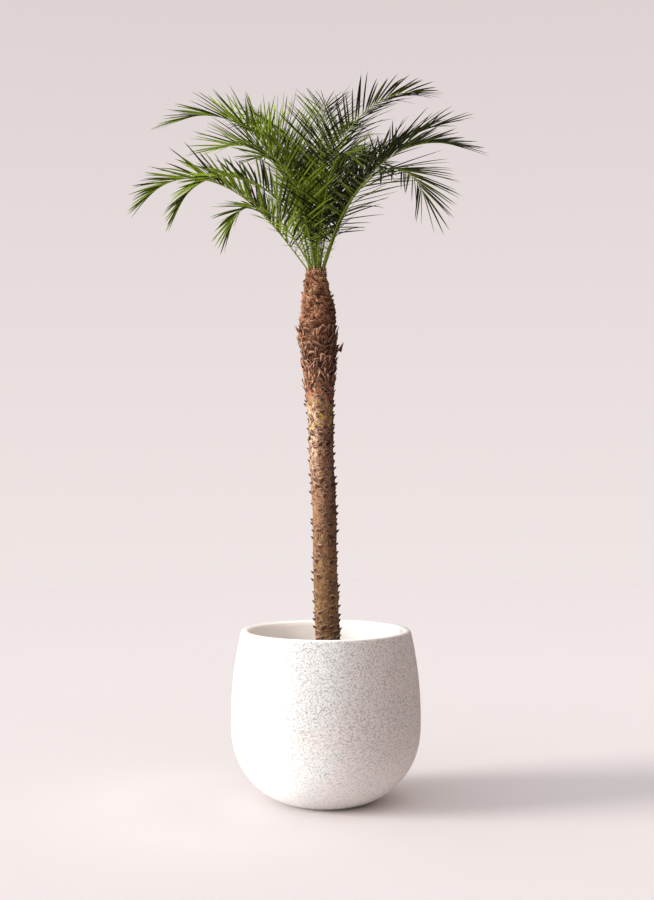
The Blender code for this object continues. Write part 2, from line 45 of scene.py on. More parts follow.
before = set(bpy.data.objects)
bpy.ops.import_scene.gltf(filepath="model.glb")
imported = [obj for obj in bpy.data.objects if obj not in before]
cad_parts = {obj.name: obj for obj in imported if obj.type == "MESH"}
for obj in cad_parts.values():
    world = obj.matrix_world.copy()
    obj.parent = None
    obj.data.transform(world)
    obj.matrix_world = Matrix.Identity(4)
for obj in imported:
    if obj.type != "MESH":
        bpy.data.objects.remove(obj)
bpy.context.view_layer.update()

UP = Vector((0, 0, 1))
SEAT_GAP = 0.0003
MERGE_DISTANCE = 0.00001

# Stage
FLOOR_RADIUS = 6.5
WALL_BEND = 1.5
WALL_TOP = 11.0
KEY_FROM = (191, 15)
RAKE_FROM = (222, 22)
EDGE_FROM = (12, 14)
CARD_LIT = "lit_by_card"
CARD_PLACE = (0.10, -0.02, 0.60)
CARD_FACING = (0.30, -0.02, 0.17)
CARD_SIZE = 0.16
LENS = 57.224
CAMERA_X = 0.0026

# Pot and soil, as the solids have them
POT_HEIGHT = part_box("pot")[1][2]
CURVE_TOP = 0.4512
BELLY_RADIUS = 0.250
BELLY_HEIGHT = 0.2135
BASE_RADIUS = 0.0975
RIM_RADIUS = 0.2231
POT_WALL = 0.018
POT_FLOOR = 0.030
POT_LIP = 0.006
LOWER_FULLNESS = (2.45, 1.46)
UPPER_FULLNESS = 2.09
SLOPE_STEP = 0.002
SOIL_LEVEL = CURVE_TOP - 0.065
SOIL_MOUND = 0.006
SOIL_PLAY = 0.0006

# Trunk: height, centre x and radius of the stem
TRUNK_OUTLINE = (
    (0.386, 0.006, 0.0305),
    (0.430, 0.005, 0.0305),
    (0.510, 0.001, 0.0305),
    (0.620, -0.0026, 0.0298),
    (0.750, -0.0036, 0.0298),
    (0.810, -0.0066, 0.0302),
    (0.915, -0.012, 0.0300),
    (1.000, -0.013, 0.0312),
    (1.063, -0.0175, 0.0350),
    (1.105, -0.0178, 0.0388),
    (1.147, -0.0185, 0.0408),
    (1.190, -0.0185, 0.0462),
    (1.250, -0.023, 0.0488),
    (1.295, -0.021, 0.0436),
    (1.337, -0.024, 0.0345),
    (1.360, -0.0255, 0.0290),
    (1.400, -0.026, 0.0245),
)
FOOT_X = 0.006
FOOT_DEPTH = 0.120
FOOT_HOLE_RADIUS = 0.0315
NECK_TOP = 1.400
NECK_X = -0.026
STUBS_AROUND = 9
STUB_SPACING = 0.45
STUB_SPIRAL = 0.045
LATTICE_START = 0.3952
BOOTS_FROM, BOOTS_TO = 1.085, 1.262

# Heights of the hooks that stand out at the trunk's right and left, in millimetres
RIGHT_HOOKS = (
    *(440, 457, 478, 493, 517, 541, 553, 570, 623, 659, 682, 715, 733, 761, 780, 808, 839, 857, 881),
    *(919, 939, 974, 995, 1021, 1046),
)
LEFT_HOOKS = (
    *(462, 482, 499, 529, 554, 586, 606, 644, 698, 717, 735, 744, 787, 817, 841, 863, 901, 931, 955),
    *(984, 1010, 1026, 1048, 1059),
)
# Cut petiole stubs that show pale faces on the neck: offset from the axis and height
CUT_STUBS = ((0.010, 1.376), (-0.0245, 1.362), (-0.001, 1.352), (-0.0145, 1.339))
# Three long split leaf bases that stand off the stem: angle, height and how far their tips stand out
LONG_BASES = ((-0.15, 1.174, 0.0140), (math.pi + 0.1, 1.222, 0.0110), (math.pi - 0.2, 1.20, 0.008))

# Crown
OUTER_RING = 0.0192
INNER_RING = 0.0104
OUTER_BASE = (0.0082, 0.0060)
INNER_BASE = (0.0062, 0.0044)
# Name, ring, azimuth, first elevation, fall, length, lateness of the fall, roll and leaflet size
FRONDS = (
    ("left_low", "outer", 184, 53, 114, 0.552, 2.5, 0, 0.95),
    ("left_mid", "outer", 207, 76, 152, 0.550, 1.5, 0, 0.82),
    ("left_front_low", "outer", 229, 47, 132, 0.400, 2.4, 0, 0.66),
    ("left_high", "inner", 168, 77, 102, 0.640, 2.35, -12, 1.0),
    ("front_left_high", "inner", 208, 86, 88, 0.440, 2.5, -30, 0.92),
    ("front_left", "inner", 242, 69, 102, 0.435, 2.3, -10, 0.92),
    ("front", "outer", 285, 76, 115, 0.480, 1.7, 10, 0.92),
    ("front_right", "outer", 308, 62, 137, 0.560, 1.85, 10, 1.0),
    ("right_low", "outer", 353, 72, 97, 0.547, 2.05, 10, 0.98),
    ("right_high", "inner", 8, 88, 97, 0.630, 2.3, 50, 1.05),
    ("right_mid", "outer", 28, 72, 59, 0.610, 1.45, 0, 1.0),
    ("back_right", "outer", 62, 74, 95, 0.580, 1.8, 0, 1.0),
    ("back", "outer", 100, 64, 105, 0.550, 1.8, 0, 1.0),
    ("back_left", "outer", 140, 79, 92, 0.570, 1.8, 0, 1.0),
    ("in_back_left", "inner", 125, 87, 92, 0.600, 1.9, -20, 1.0),
    ("in_back", "inner", 70, 88, 84, 0.565, 1.9, 20, 1.0),
    ("in_front", "inner", 275, 88, 90, 0.505, 2.0, 0, 1.0),
)
ROLL_BY = 0.35
CURVE_STEPS = 80
RACHIS_START = (0.0066, 0.0050)
RACHIS_TIP = (0.0026, 0.0020)
LEAFLETS_FROM = 0.20
LEAFLETS_TO = 0.925
FIRST_LEAFLET = 0.135
LEAFLET_TILT = 30
SLIMMER = 0.70
# How the leaflets of some fronds stand: angle to the stalk at base and tip, lift at base and tip, and length
HABIT = (60, 18, 34, 12, 1.0)
HABITS = {
    "left_low": (60, 20, 36, 14, 1.05),
    "left_mid": (62, 18, 26, 8, 1.0),
    "left_front_low": (58, 16, 10, 4, 1.2),
    "left_high": (84, 14, 100, -8, 1.18),
    "front_left_high": (62, 40, 12, 0, 0.72),
    "front_left": (64, 24, 14, 6, 1.15),
    "front": (62, 22, 18, 8, 1.12),
    "front_right": (70, 28, -6, -4, 1.22),
    "right_low": (60, 34, 26, 6, 1.15),
    "right_mid": (66, 32, 24, 6, 1.15),
    "right_high": (60, 20, 20, 4, 0.88),
    "back_left": (66, 26, 56, 20, 1.32),
    "in_back_left": (60, 30, 44, 20, 1.35),
    "in_back": (60, 26, 34, 16, 1.0),
    "in_front": (64, 28, 24, 10, 1.1),
}


def colour_property(name, text, default):
    """A colour that the user can change."""
    return FloatVectorProperty(
        name=name, description=text, default=default, size=3, min=0.0, max=1.0, subtype="COLOR"
    )


def number_property(name, text, default, **more):
    """A number that the user can change."""
    return FloatProperty(name=name, description=text, default=default, **more)


def length_property(name, text, default):
    """A length that the user can change."""
    return number_property(name, text, default, min=0.0, unit="LENGTH", precision=4)


def count_property(name, text, default, least=32):
    """A whole number that the user can change."""
    return IntProperty(name=name, description=text, default=default, min=least)


class PALM_PG_stage(bpy.types.PropertyGroup):
    """Floor, backdrop, light and camera."""

    floor_near: colour_property("Floor", "Floor round the pot", (0.900, 0.843, 0.830))
    floor_far: colour_property("Far floor", "Floor at its edge", (0.858, 0.800, 0.792))
    # Painted shade: a darker floor colour round the pot's left side, cancelling the light the pot throws
    # there.
    floor_painted_shade: colour_property("Floor by the pot", "Floor that the pot lights", (0.730, 0.690, 0.684))
    wall_low: colour_property("Low wall", "Backdrop where it meets the floor", (0.855, 0.783, 0.775))
    wall_high: colour_property("High wall", "Backdrop high above the plant", (0.730, 0.651, 0.651))
    sun_colour: colour_property("Key light", "Colour of the key light", (1.0, 0.995, 0.965))
    sun_strength: number_property("Key strength", "Strength of the key light", 3.62)
    sun_angle: number_property("Key size", "Softness of the key light", math.radians(25), unit="ROTATION")
    fill: number_property("Fill", "Strength of the soft light from above", 1.10)
    fill_low: colour_property("Low fill", "Soft light from the sides", (1.0, 0.90, 0.85))
    fill_high: colour_property("High fill", "Soft light from above", (0.95, 0.945, 1.0))
    card: number_property("Card", "Power of the card over the pot's mouth", 0.85)
    rake: number_property("Rake", "Strength of the light that rakes over the pot", 1.3)
    edge: number_property("Edge", "Strength of the light on the pot's right edge", 0.50)
    camera_distance: length_property("Camera distance", "From the plant to the camera", 3.78)
    camera_height: length_property("Camera height", "From the floor to the camera", 0.9255)


class PALM_PG_pot(bpy.types.PropertyGroup):
    """The sandy white pot."""

    colour: colour_property("Colour", "Pale coat of the pot", (0.860, 0.850, 0.834))
    grain_colour: colour_property("Grains", "Dark sand grains", (0.25, 0.210, 0.198))
    stain: colour_property("Patches", "Faint warm patches", (0.92, 0.84, 0.79))
    grain: length_property("Grain", "Size of a sand grain", 0.0023)
    sides: count_property("Sides", "Facets round the pot", 240)


class PALM_PG_soil(bpy.types.PropertyGroup):
    """The potting mix."""

    colour: colour_property("Colour", "Moist potting mix", (0.050, 0.031, 0.020))
    chips: count_property("Chips", "Bark chips on the surface", 520, 0)
    grains: count_property("Grains", "White mineral grains on the surface", 190, 0)


class PALM_PG_trunk(bpy.types.PropertyGroup):
    """The stem with its leaf bases."""

    bark: colour_property("Bark", "Smooth bark low on the stem", (0.35, 0.185, 0.072))
    # Lip colour: partly the lips' own paleness, partly painted highlight.
    lip: colour_property("Lips", "Pale edges of the old leaf bases", (0.74, 0.50, 0.33))
    # Colour of the painted shade in the hollows behind and under the leaf bases.
    hollow: colour_property("Hollows", "Dark hollows behind the leaf bases", (0.020, 0.008, 0.005))
    head: colour_property("Fibre", "Fibrous head under the crown", (0.40, 0.135, 0.048))
    hook: colour_property("Hooks", "Dry pointed hooks", (0.040, 0.022, 0.016))
    sides: count_property("Sides", "Facets round the stem", 136)
    rings: count_property("Rings", "Rings up the stem", 620, 64)


class PALM_PG_frond(bpy.types.PropertyGroup):
    """The leaves."""

    deep: colour_property("Deep green", "Shaded green of the leaflets", (0.011, 0.016, 0.002))
    light: colour_property("Light green", "Light green of the leaflets", (0.265, 0.375, 0.026))
    stalk: colour_property("Stalk", "Yellow-green stalks", (0.170, 0.230, 0.010))
    spacing: length_property("Leaflet spacing", "Between leaflets on one side", 0.0092)
    length: length_property("Leaflet length", "Longest leaflets of a full-sized frond", 0.146)
    width: length_property("Leaflet width", "Across a leaflet at its widest", 0.0064)


def mix(a, b, share):
    """The value that lies this share of the way from a to b."""
    return a + (b - a) * share


def ease(low, high, value):
    """A smooth rise from 0 at low to 1 at high, for numbers and arrays."""
    share = np.clip((value - low) / (high - low), 0.0, 1.0)
    return share * share * (3 - 2 * share)


class Pattern:
    """A number or colour that a material works out at each point, from one output of a node."""

    def __init__(self, nodes, socket):
        self.nodes = nodes
        self.socket = socket

    def step(self, kind, *numbers):
        """One step of arithmetic."""
        return self.nodes.pattern("ShaderNodeMath", 0, dict(enumerate(numbers)), operation=kind)

    def __mul__(self, other):
        return self.step("MULTIPLY", self, other)

    def __sub__(self, other):
        return self.step("SUBTRACT", self, other)

    def __rsub__(self, other):
        return self.step("SUBTRACT", other, self)

    def __truediv__(self, other):
        return self.step("DIVIDE", self, other)

    def __pow__(self, other):
        return self.step("POWER", self, other)

    def __abs__(self):
        return self.step("ABSOLUTE", self)

    def sine(self):
        """The sine of this number."""
        return self.step("SINE", self)

    def larger(self, other):
        """The larger of two numbers."""
        return self.step("MAXIMUM", self, other)

    def scaled(self, factor, plus):
        """This number times a factor, plus another number."""
        return self.step("MULTIPLY_ADD", self, factor, plus)

    def rise(self, low, high, start=0.0, end=1.0, curve="SMOOTHSTEP"):
        """A rise from start to end while this number goes from low to high."""
        inputs = {"Value": self, "From Min": low, "From Max": high, "To Min": start, "To Max": end}
        return self.nodes.pattern("ShaderNodeMapRange", "Result", inputs, interpolation_type=curve)

    def ramp(self, *stops):
        """A colour ramp with stops of (position, colour or grey)."""
        made = self.nodes.node("ShaderNodeValToRGB", {"Fac": self})
        elements = made.color_ramp.elements
        for _ in stops[2:]:
            elements.new(0.5)
        for element, (position, colour) in zip(elements, stops):
            element.position = position
            element.color = (*(colour if isinstance(colour, tuple) else (colour,) * 3), 1.0)
        return Pattern(self.nodes, made.outputs["Color"])

    def blend(self, first, second):
        """Two colours mixed, with this number as the second one's share."""
        return self.nodes.mixed("MIX", self, first, second)

    def tint(self, other):
        """This colour times another."""
        return self.nodes.mixed("MULTIPLY", 1.0, self, other)

    def bump(self, distance, strength=1.0, over=None):
        """Relief from this height, over earlier relief if there is any."""
        inputs = {"Height": self, "Distance": distance, "Strength": strength}
        if over is not None:
            inputs["Normal"] = over
        return self.nodes.pattern("ShaderNodeBump", "Normal", inputs)


class Nodes:
    """A node tree, with a short way to add each kind of node."""

    def __init__(self, tree):
        self.tree = tree

    def feed(self, socket, value):
        """Link a pattern to a socket, or set the socket's value."""
        if isinstance(value, Pattern):
            self.tree.links.new(value.socket, socket)
        elif socket.type == "RGBA":
            socket.default_value = (*value, 1.0)
        else:
            socket.default_value = value

    def node(self, kind, inputs=(), **settings):
        """A node with its settings and its inputs, given by name or number."""
        made = self.tree.nodes.new(kind)
        for name, value in settings.items():
            setattr(made, name, value)
        for name, value in dict(inputs).items():
            self.feed(made.inputs[name], value)
        return made

    def pattern(self, kind, output, inputs=(), **settings):
        """What one output of a new node gives."""
        return Pattern(self, self.node(kind, inputs, **settings).outputs[output])

    def mixed(self, kind, share, first, second):
        """Two colours mixed or multiplied."""
        inputs = {0: share, 6: first, 7: second}
        return self.pattern("ShaderNodeMix", 2, inputs, data_type="RGBA", blend_type=kind)

    def measure(self, kind, *places):
        """A length, a distance or another number from vectors."""
        return self.pattern("ShaderNodeVectorMath", "Value", dict(enumerate(places)), operation=kind)


class Finish(Nodes):
    """A material on Object coordinates."""

    def __init__(self, name, roughness, specular=0.5):
        self.material = bpy.data.materials.new(name)
        self.material.use_nodes = True
        super().__init__(self.material.node_tree)
        self.shader = self.tree.nodes["Principled BSDF"].inputs
        self.shader["Roughness"].default_value = roughness
        self.shader["Specular IOR Level"].default_value = specular
        self.place = self.pattern("ShaderNodeTexCoord", "Object")

    def along(self, axis):
        """How far a point is along an axis."""
        return self.pattern("ShaderNodeSeparateXYZ", axis, {"Vector": self.place})

    def stretched(self, scale, turn=(0, 0, 0)):
        """Object coordinates, scaled along each axis."""
        return self.pattern(
            "ShaderNodeMapping", "Vector", {"Vector": self.place, "Scale": scale, "Rotation": turn}
        )

    def noise(self, scale, detail=3.0, roughness=0.55, distortion=0.0, vector=None):
        """Soft noise between 0 and 1."""
        inputs = {"Vector": vector or self.place, "Scale": scale, "Detail": detail}
        inputs.update({"Roughness": roughness, "Distortion": distortion})
        return self.pattern("ShaderNodeTexNoise", "Fac", inputs)

    def cells(self, scale):
        """Cells round random places: the distance to the nearest place."""
        return self.pattern("ShaderNodeTexVoronoi", "Distance", {"Vector": self.place, "Scale": scale})

    def mark(self, name):
        """A colour attribute of the mesh: its three numbers and its alpha."""
        made = self.node("ShaderNodeAttribute", attribute_name=name).outputs
        parts = self.node("ShaderNodeSeparateColor", {"Color": Pattern(self, made["Color"])}).outputs
        return [Pattern(self, socket) for socket in (*parts, made["Alpha"])]

    def done(self, colour, normal=None):
        """Give the shader its colour and its relief."""
        self.feed(self.shader["Base Color"], colour)
        if normal is not None:
            self.feed(self.shader["Normal"], normal)
        return self.material


def link_mesh(name, bm, finishes):
    """A new object in the scene, with the mesh and its finishes."""
    mesh = bpy.data.meshes.new(name)
    bm.to_mesh(mesh)
    bm.free()
    for finish in finishes:
        mesh.materials.append(finish)
    made = bpy.data.objects.new(name, mesh)
    bpy.context.scene.collection.objects.link(made)
    return made


def make_piece(name, bm, finishes, nodes=(), sharp=None):
    """Make the mesh a piece of the plant, which may stand for nodes of the solid model."""
    piece = link_mesh(name, bm, finishes)
    if sharp is not None:
        piece.data.shade_smooth()
        piece.data.set_sharp_from_angle(angle=math.radians(sharp))
    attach(piece, "root")
    if nodes:
        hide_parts(*nodes)
    return piece


def turned(profile, sides):
    """Turn a profile of (radius, height) points about the Z axis."""
    bm = bmesh.new()
    verts = [bm.verts.new((radius, 0.0, height)) for radius, height in profile]
    edges = [bm.edges.new(pair) for pair in zip(verts, verts[1:])]
    turn = {"cent": (0, 0, 0), "axis": UP, "angle": math.tau, "steps": sides}
    bmesh.ops.spin(bm, geom=verts + edges, use_merge=True, **turn)
    bmesh.ops.remove_doubles(bm, verts=bm.verts, dist=MERGE_DISTANCE)
    bmesh.ops.recalc_face_normals(bm, faces=bm.faces)
    return bm


def new_form(name, bm):
    """Keep a small shape to copy from, and free its bmesh."""
    form = bpy.data.meshes.new(name)
    bm.to_mesh(form)
    bm.free()
    return form


def tube_form(name, sides, cuts, pointed, finish_slot=0):
    """A unit tube along Z from 0 to 1, closed at its ends, to be bent into stalks and blades."""
    bm = bmesh.new()
    bmesh.ops.create_cone(bm, cap_ends=True, segments=sides, radius1=1, radius2=1, depth=1)
    bmesh.ops.translate(bm, verts=bm.verts, vec=(0, 0, 0.5))
    along = [edge for edge in bm.edges if abs(edge.verts[0].co.z - edge.verts[1].co.z) > 0.5]
    bmesh.ops.subdivide_edges(bm, edges=along, cuts=cuts, use_grid_fill=False)
    if pointed:
        top = [vert for vert in bm.verts if vert.co.z > 0.999]
        bmesh.ops.pointmerge(bm, verts=top, merge_co=UP)
    for face in bm.faces:
        face.material_index = finish_slot
    return new_form(name, bm)


class Growth:
    """A mesh that grows from copies of one small form, each point with a colour mark."""

    def __init__(self, form, seed=0, mark="blade"):
        self.form = form
        self.draw = random.Random(seed)
        self.bm = bmesh.new()
        self.marks = self.bm.verts.layers.float_color.new(mark)

    def add(self, place, form=None):
        """Add a copy of the form and move each point to its place, with its mark."""
        first = len(self.bm.verts)
        self.bm.from_mesh(form or self.form)
        self.bm.verts.ensure_lookup_table()
        for vert in self.bm.verts[first:]:
            vert.co, vert[self.marks] = place(vert.co.copy())

    def add_bent(self, *curve):
        """Bend a copy of the form along a curve and give it a tone of its own."""
        rule = bent(*curve)
        tone = self.draw.random()
        self.add(lambda point: (rule(point), (point.z, 0, tone, 1)))

    def close(self, name, finish, slot="trunk", nodes=(), sharp=None):
        """Make the mesh a piece and let the form go."""
        forget(self.form)
        make_piece(name, self.bm, [finish], nodes, sharp)


def bent(path, widths, heights, sides, ups):
    """A rule that bends a unit tube along a path with given half widths and half heights."""
    last = len(path) - 1

    def place(point):
        n = min(last, max(0, round(point.z * last)))
        return path[n] + sides[n] * (point.x * widths[n]) + ups[n] * (point.y * heights[n])

    return place


def forget(*forms):
    """Remove forms that have done their work."""
    for form in forms:
        bpy.data.meshes.remove(form)


# Stage


def floor_finish(look):
    """Matt paper floor, a little darker far out, with painted shade round the pot's left side that cancels
    the light the pot throws there.
    """
    finish = Finish("floor_paper", 1.0, 0.0)
    far = finish.measure("LENGTH", finish.place)
    colour = far.rise(0.5, 6.5).blend(look.floor_near, look.floor_far)
    colour = colour.tint(finish.noise(1.3, 2.0).ramp((0.3, 0.992), (0.7, 1.0)))
    # Painted shade round the pot's left side, darkest near it, cancelling the light the pot throws on the
    # floor.
    glow = finish.measure("DISTANCE", finish.place, (-0.2, -0.06, 0)).rise(0.42, 0.02)
    return finish.done(glow.blend(colour, look.floor_painted_shade))


def wall_finish(look):
    """A backdrop that glows evenly, paler towards the floor."""
    finish = Finish("backdrop", 1.0, 0.0)
    share = finish.along("Z").rise(0.0, 4.6, curve="LINEAR")
    finish.shader["Emission Strength"].default_value = 1.0
    finish.feed(finish.shader["Emission Color"], share.blend(look.wall_low, look.wall_high))
    return finish.done((0, 0, 0))


def add_stage_part(name, bm, finish):
    """Link a part of the stage."""
    part = link_mesh(name, bm, [finish])
    part.data.shade_smooth()
    return part


def towards(around, rise):
    """The direction of a light from its degrees round the plant and above the floor."""
    around, rise = math.radians(around), math.radians(rise)
    flat = math.cos(rise)
    return Vector((math.cos(around) * flat, math.sin(around) * flat, math.sin(rise)))


def add_lamp(scene, name, kind, energy, place, colour, **settings):
    """A lamp that shines from a direction."""
    data = bpy.data.lights.new(name, kind)
    data.energy = energy
    data.color = colour
    for key, value in settings.items():
        setattr(data, key, value)
    lamp = bpy.data.objects.new(name, data)
    lamp.rotation_euler = Vector(place).to_track_quat("Z", "Y").to_euler()
    scene.collection.objects.link(lamp)
    return lamp


class PALM_OT_stage(bpy.types.Operator):
    """Set up the floor, the backdrop, the lights and the camera"""

    bl_idname = "palm.stage"
    bl_label = "Stage"
    bl_options = {"REGISTER", "UNDO"}

    def execute(self, context):
        look = context.scene.palm_stage
        bm = bmesh.new()
        bmesh.ops.create_circle(bm, cap_ends=True, radius=FLOOR_RADIUS, segments=96)
        add_stage_part("floor", bm, floor_finish(look))
        self.add_wall(look)
        self.add_lights(context.scene, look)
        self.add_fill(context.scene, look)
        self.add_camera(context.scene, look)
        return {"FINISHED"}

    def add_wall(self, look):
        """A bowl round the floor that only the camera sees, and that lights nothing."""
        profile = [(FLOOR_RADIUS - 0.2, -0.004)]
        for n in range(1, 9):
            angle = math.radians(90 * n / 8)
            profile.append((FLOOR_RADIUS + WALL_BEND * math.sin(angle), WALL_BEND * (1 - math.cos(angle))))
        profile.append((FLOOR_RADIUS + WALL_BEND, WALL_TOP))
        wall = add_stage_part("backdrop", turned(profile, 96), wall_finish(look))
        wall.visible_diffuse = wall.visible_glossy = wall.visible_transmission = wall.visible_shadow = False

    def add_lights(self, scene, look):
        """A low key light from the left, and three lights for the pot alone: rake, edge and card."""
        key = towards(*KEY_FROM)
        add_lamp(scene, "key", "SUN", look.sun_strength, key, look.sun_colour, angle=look.sun_angle)
        narrow = math.radians(12)
        rake = add_lamp(scene, "rake", "SUN", look.rake, towards(*RAKE_FROM), (1.0, 1.0, 1.0), angle=narrow)
        edge = add_lamp(scene, "edge", "SUN", look.edge, towards(*EDGE_FROM), (1.0, 0.88, 0.82), angle=narrow)
        card = add_lamp(scene, "card", "AREA", look.card, CARD_FACING, (1.0, 0.87, 0.76), size=CARD_SIZE)
        card.location = CARD_PLACE
        card.visible_camera = False
        pot_only = bpy.data.collections.new(CARD_LIT)
        for lamp in (rake, edge, card):
            lamp.light_linking.receiver_collection = pot_only

    def add_fill(self, scene, look):
        """A soft fill all round that is stronger from above and the left."""
        scene.world = bpy.data.worlds.new("studio")
        scene.world.use_nodes = True
        scene.view_settings.view_transform = "Standard"
        nodes = Nodes(scene.world.node_tree)
        back = nodes.tree.nodes["Background"].inputs
        place = nodes.pattern("ShaderNodeTexCoord", "Generated")
        above = nodes.measure("DOT_PRODUCT", place, Vector((-0.55, -0.32, 0.78)).normalized())
        colour = above.rise(0.1, 0.9, curve="LINEAR").blend(look.fill_low, look.fill_high)
        nodes.feed(back["Color"], colour)
        nodes.feed(back["Strength"], above.rise(-0.45, 1.0, 0.0, look.fill, "LINEAR"))

    def add_camera(self, scene, look):
        """A level camera that sees the whole plant from the front."""
        data = bpy.data.cameras.new("camera")
        data.lens = LENS
        data.sensor_width = 36
        data.clip_end = 60
        camera = bpy.data.objects.new("camera", data)
        camera.location = (CAMERA_X, -look.camera_distance, look.camera_height)
        camera.rotation_euler = (math.radians(90), 0, 0)
        scene.collection.objects.link(camera)
        scene.camera = camera


# Pot


def pot_radius(height):
    """The pot's outer radius at a height."""
    if height < BELLY_HEIGHT:
        below = 1 - max(0.0, height) / BELLY_HEIGHT
        first, second = LOWER_FULLNESS
        return mix(BASE_RADIUS, BELLY_RADIUS, (1 - below**first) ** (1 / second))
    above = (height - BELLY_HEIGHT) / (CURVE_TOP - BELLY_HEIGHT)
    return mix(BELLY_RADIUS, RIM_RADIUS, above**UPPER_FULLNESS)


def pot_inner_radius(height):
    """The radius of the pot's inner wall."""
    slope = (pot_radius(height + SLOPE_STEP) - pot_radius(height - SLOPE_STEP)) / (2 * SLOPE_STEP)
    return pot_radius(height) - POT_WALL * math.sqrt(1 + slope * slope)


def pot_profile():
    """The pot's section in fine steps, from the middle of its base round the lip to its floor."""
    points = [(0.0, 0.0), (BASE_RADIUS * 0.5, 0.0), (BASE_RADIUS * 0.93, 0.0)]
    for n in range(1, 45):
        height = BELLY_HEIGHT * (1 - math.cos(math.radians(90 * n / 44)))
        points.append((pot_radius(height) - 0.0012 * math.exp(-height / 0.003), height))
    top = POT_HEIGHT
    shoulder = top - POT_LIP
    for n in range(1, 43):
        height = mix(BELLY_HEIGHT, shoulder, n / 42)
        points.append((pot_radius(height), height))
    outer = (RIM_RADIUS - POT_LIP, 10, 90)
    inner = (RIM_RADIUS - POT_WALL + POT_LIP, 90, 170)
    for centre, start, end in (outer, inner):
        for n in range(7):
            angle = math.radians(mix(start, end, n / 6))
            points.append((centre + POT_LIP * math.cos(angle), shoulder + POT_LIP * math.sin(angle)))
    for n in range(1, 40):
        height = mix(shoulder, POT_FLOOR, n / 39)
        points.append((pot_inner_radius(height), height))
    points.append((0.0, POT_FLOOR))
    return points


def pot_finish(look):
    """Sand-textured off-white coat with dark grains, pits and faint warm patches; painted shade tints its
    right side darker and warmer, and its grains fade where it is lit on the left and, in part, low down, as
    painted light.
    """
    finish = Finish("sandy_white", 0.9, 0.25)
    unit = 1.0 / look.grain
    height, across = finish.along("Z"), finish.along("X")
    level = finish.pattern("ShaderNodeVectorMath", 0, {0: finish.place, 1: (1, 1, 0)}, operation="MULTIPLY")
    far = finish.measure("LENGTH", level)
    above = ((height - BELLY_HEIGHT) / (CURVE_TOP - BELLY_HEIGHT)).larger(0.0) ** UPPER_FULLNESS
    outer = above.scaled(RIM_RADIUS - BELLY_RADIUS, BELLY_RADIUS)
    outside = (far - outer).rise(-0.014, -0.007).larger(height.rise(0.33, 0.31))
    # Where grains show: not on the rim's top nor inside; fewer low down, partly a smoother foot and partly
    # painted light where the floor lights the pot; fewer on the lit left side, a painted highlight.
    rough = height.rise(0.4515, 0.446) * outside * height.rise(0.0, 0.26, 0.45, 1.0)
    rough *= across.rise(-0.2, -0.03, 0.42, 1.0)
    flat = finish.stretched((0.75, 0.75, 1.2))
    fine = finish.noise(unit * 1.1, 3.0, 0.7, 0.0, flat)
    sand = finish.noise(unit * 0.55, 4.0, 0.75, 0.3, flat)
    waves = finish.noise(16.0, 3.0, 0.5)
    patch = finish.noise(7.0, 5.0, 0.65, 0.8)
    colour = patch.ramp((0.46, 0.0), (0.7, 0.8)).blend(look.colour, look.stain)
    colour = colour.tint(rough.blend((1.0, 1.0, 1.0), sand.ramp((0.36, (0.52, 0.495, 0.48)), (0.5, 1.0))))
    # Painted shade: the pot's right side, away from the key light, is tinted darker and warmer.
    warm = across.rise(-0.02, 0.14) * height.rise(0.05, 0.2, 0.3, 1.0) * outside
    colour = warm.blend(colour, colour.tint((0.89, 0.81, 0.79)))
    specks = finish.noise(unit * 0.85, 2.0, 0.5, 0.4, flat).ramp((0.56, 0.0), (0.64, 0.8)) * rough
    colour = specks.blend(colour, look.grain_colour)
    relief = waves.bump(0.004, 0.25)
    relief = sand.bump(0.004, rough.scaled(0.9, 0.05), relief)
    relief = fine.bump(0.0016, rough.scaled(0.85, 0.06), relief)
    return finish.done(colour, relief)


class PALM_OT_pot(bpy.types.Operator):
    """Make the bellied pot with its rounded rim"""

    bl_idname = "palm.pot"
    bl_label = "Pot"
    bl_options = {"REGISTER", "UNDO"}

    def execute(self, context):
        look = context.scene.palm_pot
        bm = turned(pot_profile(), look.sides)
        pot = make_piece("pot_dressed", bm, [pot_finish(look)], ("pot",), 50)
        bpy.data.collections[CARD_LIT].objects.link(pot)
        return {"FINISHED"}


# Soil


def soil_height(x, y):
    """The soil's surface: a low mound with crumbs and hollows."""
    lift = SOIL_LEVEL + SOIL_MOUND * (1 - math.hypot(x, y) / 0.2)
    for height, seed, scale in ((0.0030, 0.4, 22), (0.0022, 1.4, 90), (0.0010, 2.4, 260)):
        lift += height * noise.noise(Vector((x, y, seed)) * scale)
    return lift


def soil_finish(look):
    """Moist, crumbly potting mix."""
    finish = Finish("potting_mix", 0.95, 0.2)
    crumbs = finish.noise(300.0, 5.0, 0.7)
    clods = finish.cells(160.0)
    damp = finish.noise(14.0, 3.0)
    dry = [min(1.0, 2.6 * part) for part in look.colour]
    colour = damp.ramp((0.4, 0.0), (0.65, 0.6)).blend(look.colour, dry)
    shade = crumbs.ramp((0.3, 0.45), (0.7, 1.5))
    colour = colour.tint(shade)
    relief = clods.bump(0.002, 0.6)
    return finish.done(colour, crumbs.bump(0.0015, 0.9, relief))


def chip_finish():
    """Reddish-brown bark chips, each its own tone."""
    finish = Finish("bark_chip", 0.9, 0.2)
    tone, _, _, _ = finish.mark("tone")
    grain = finish.noise(60.0, 4.0, 0.6, 0.4, finish.stretched((1, 6, 6)))
    colour = tone.ramp((0.0, (0.035, 0.018, 0.01)), (0.6, (0.13, 0.062, 0.03)), (1.0, (0.27, 0.16, 0.085)))
    shade = grain.ramp((0.3, 0.5), (0.7, 1.25))
    return finish.done(colour.tint(shade), grain.bump(0.0008, 0.8))


def mineral_finish():
    """White porous grains."""
    finish = Finish("mineral_grain", 0.85, 0.3)
    pores = finish.cells(900.0)
    colour = pores.ramp((0.1, (0.42, 0.38, 0.33)), (0.5, (0.78, 0.75, 0.7)))
    return finish.done(colour, pores.bump(0.0005, 0.7))


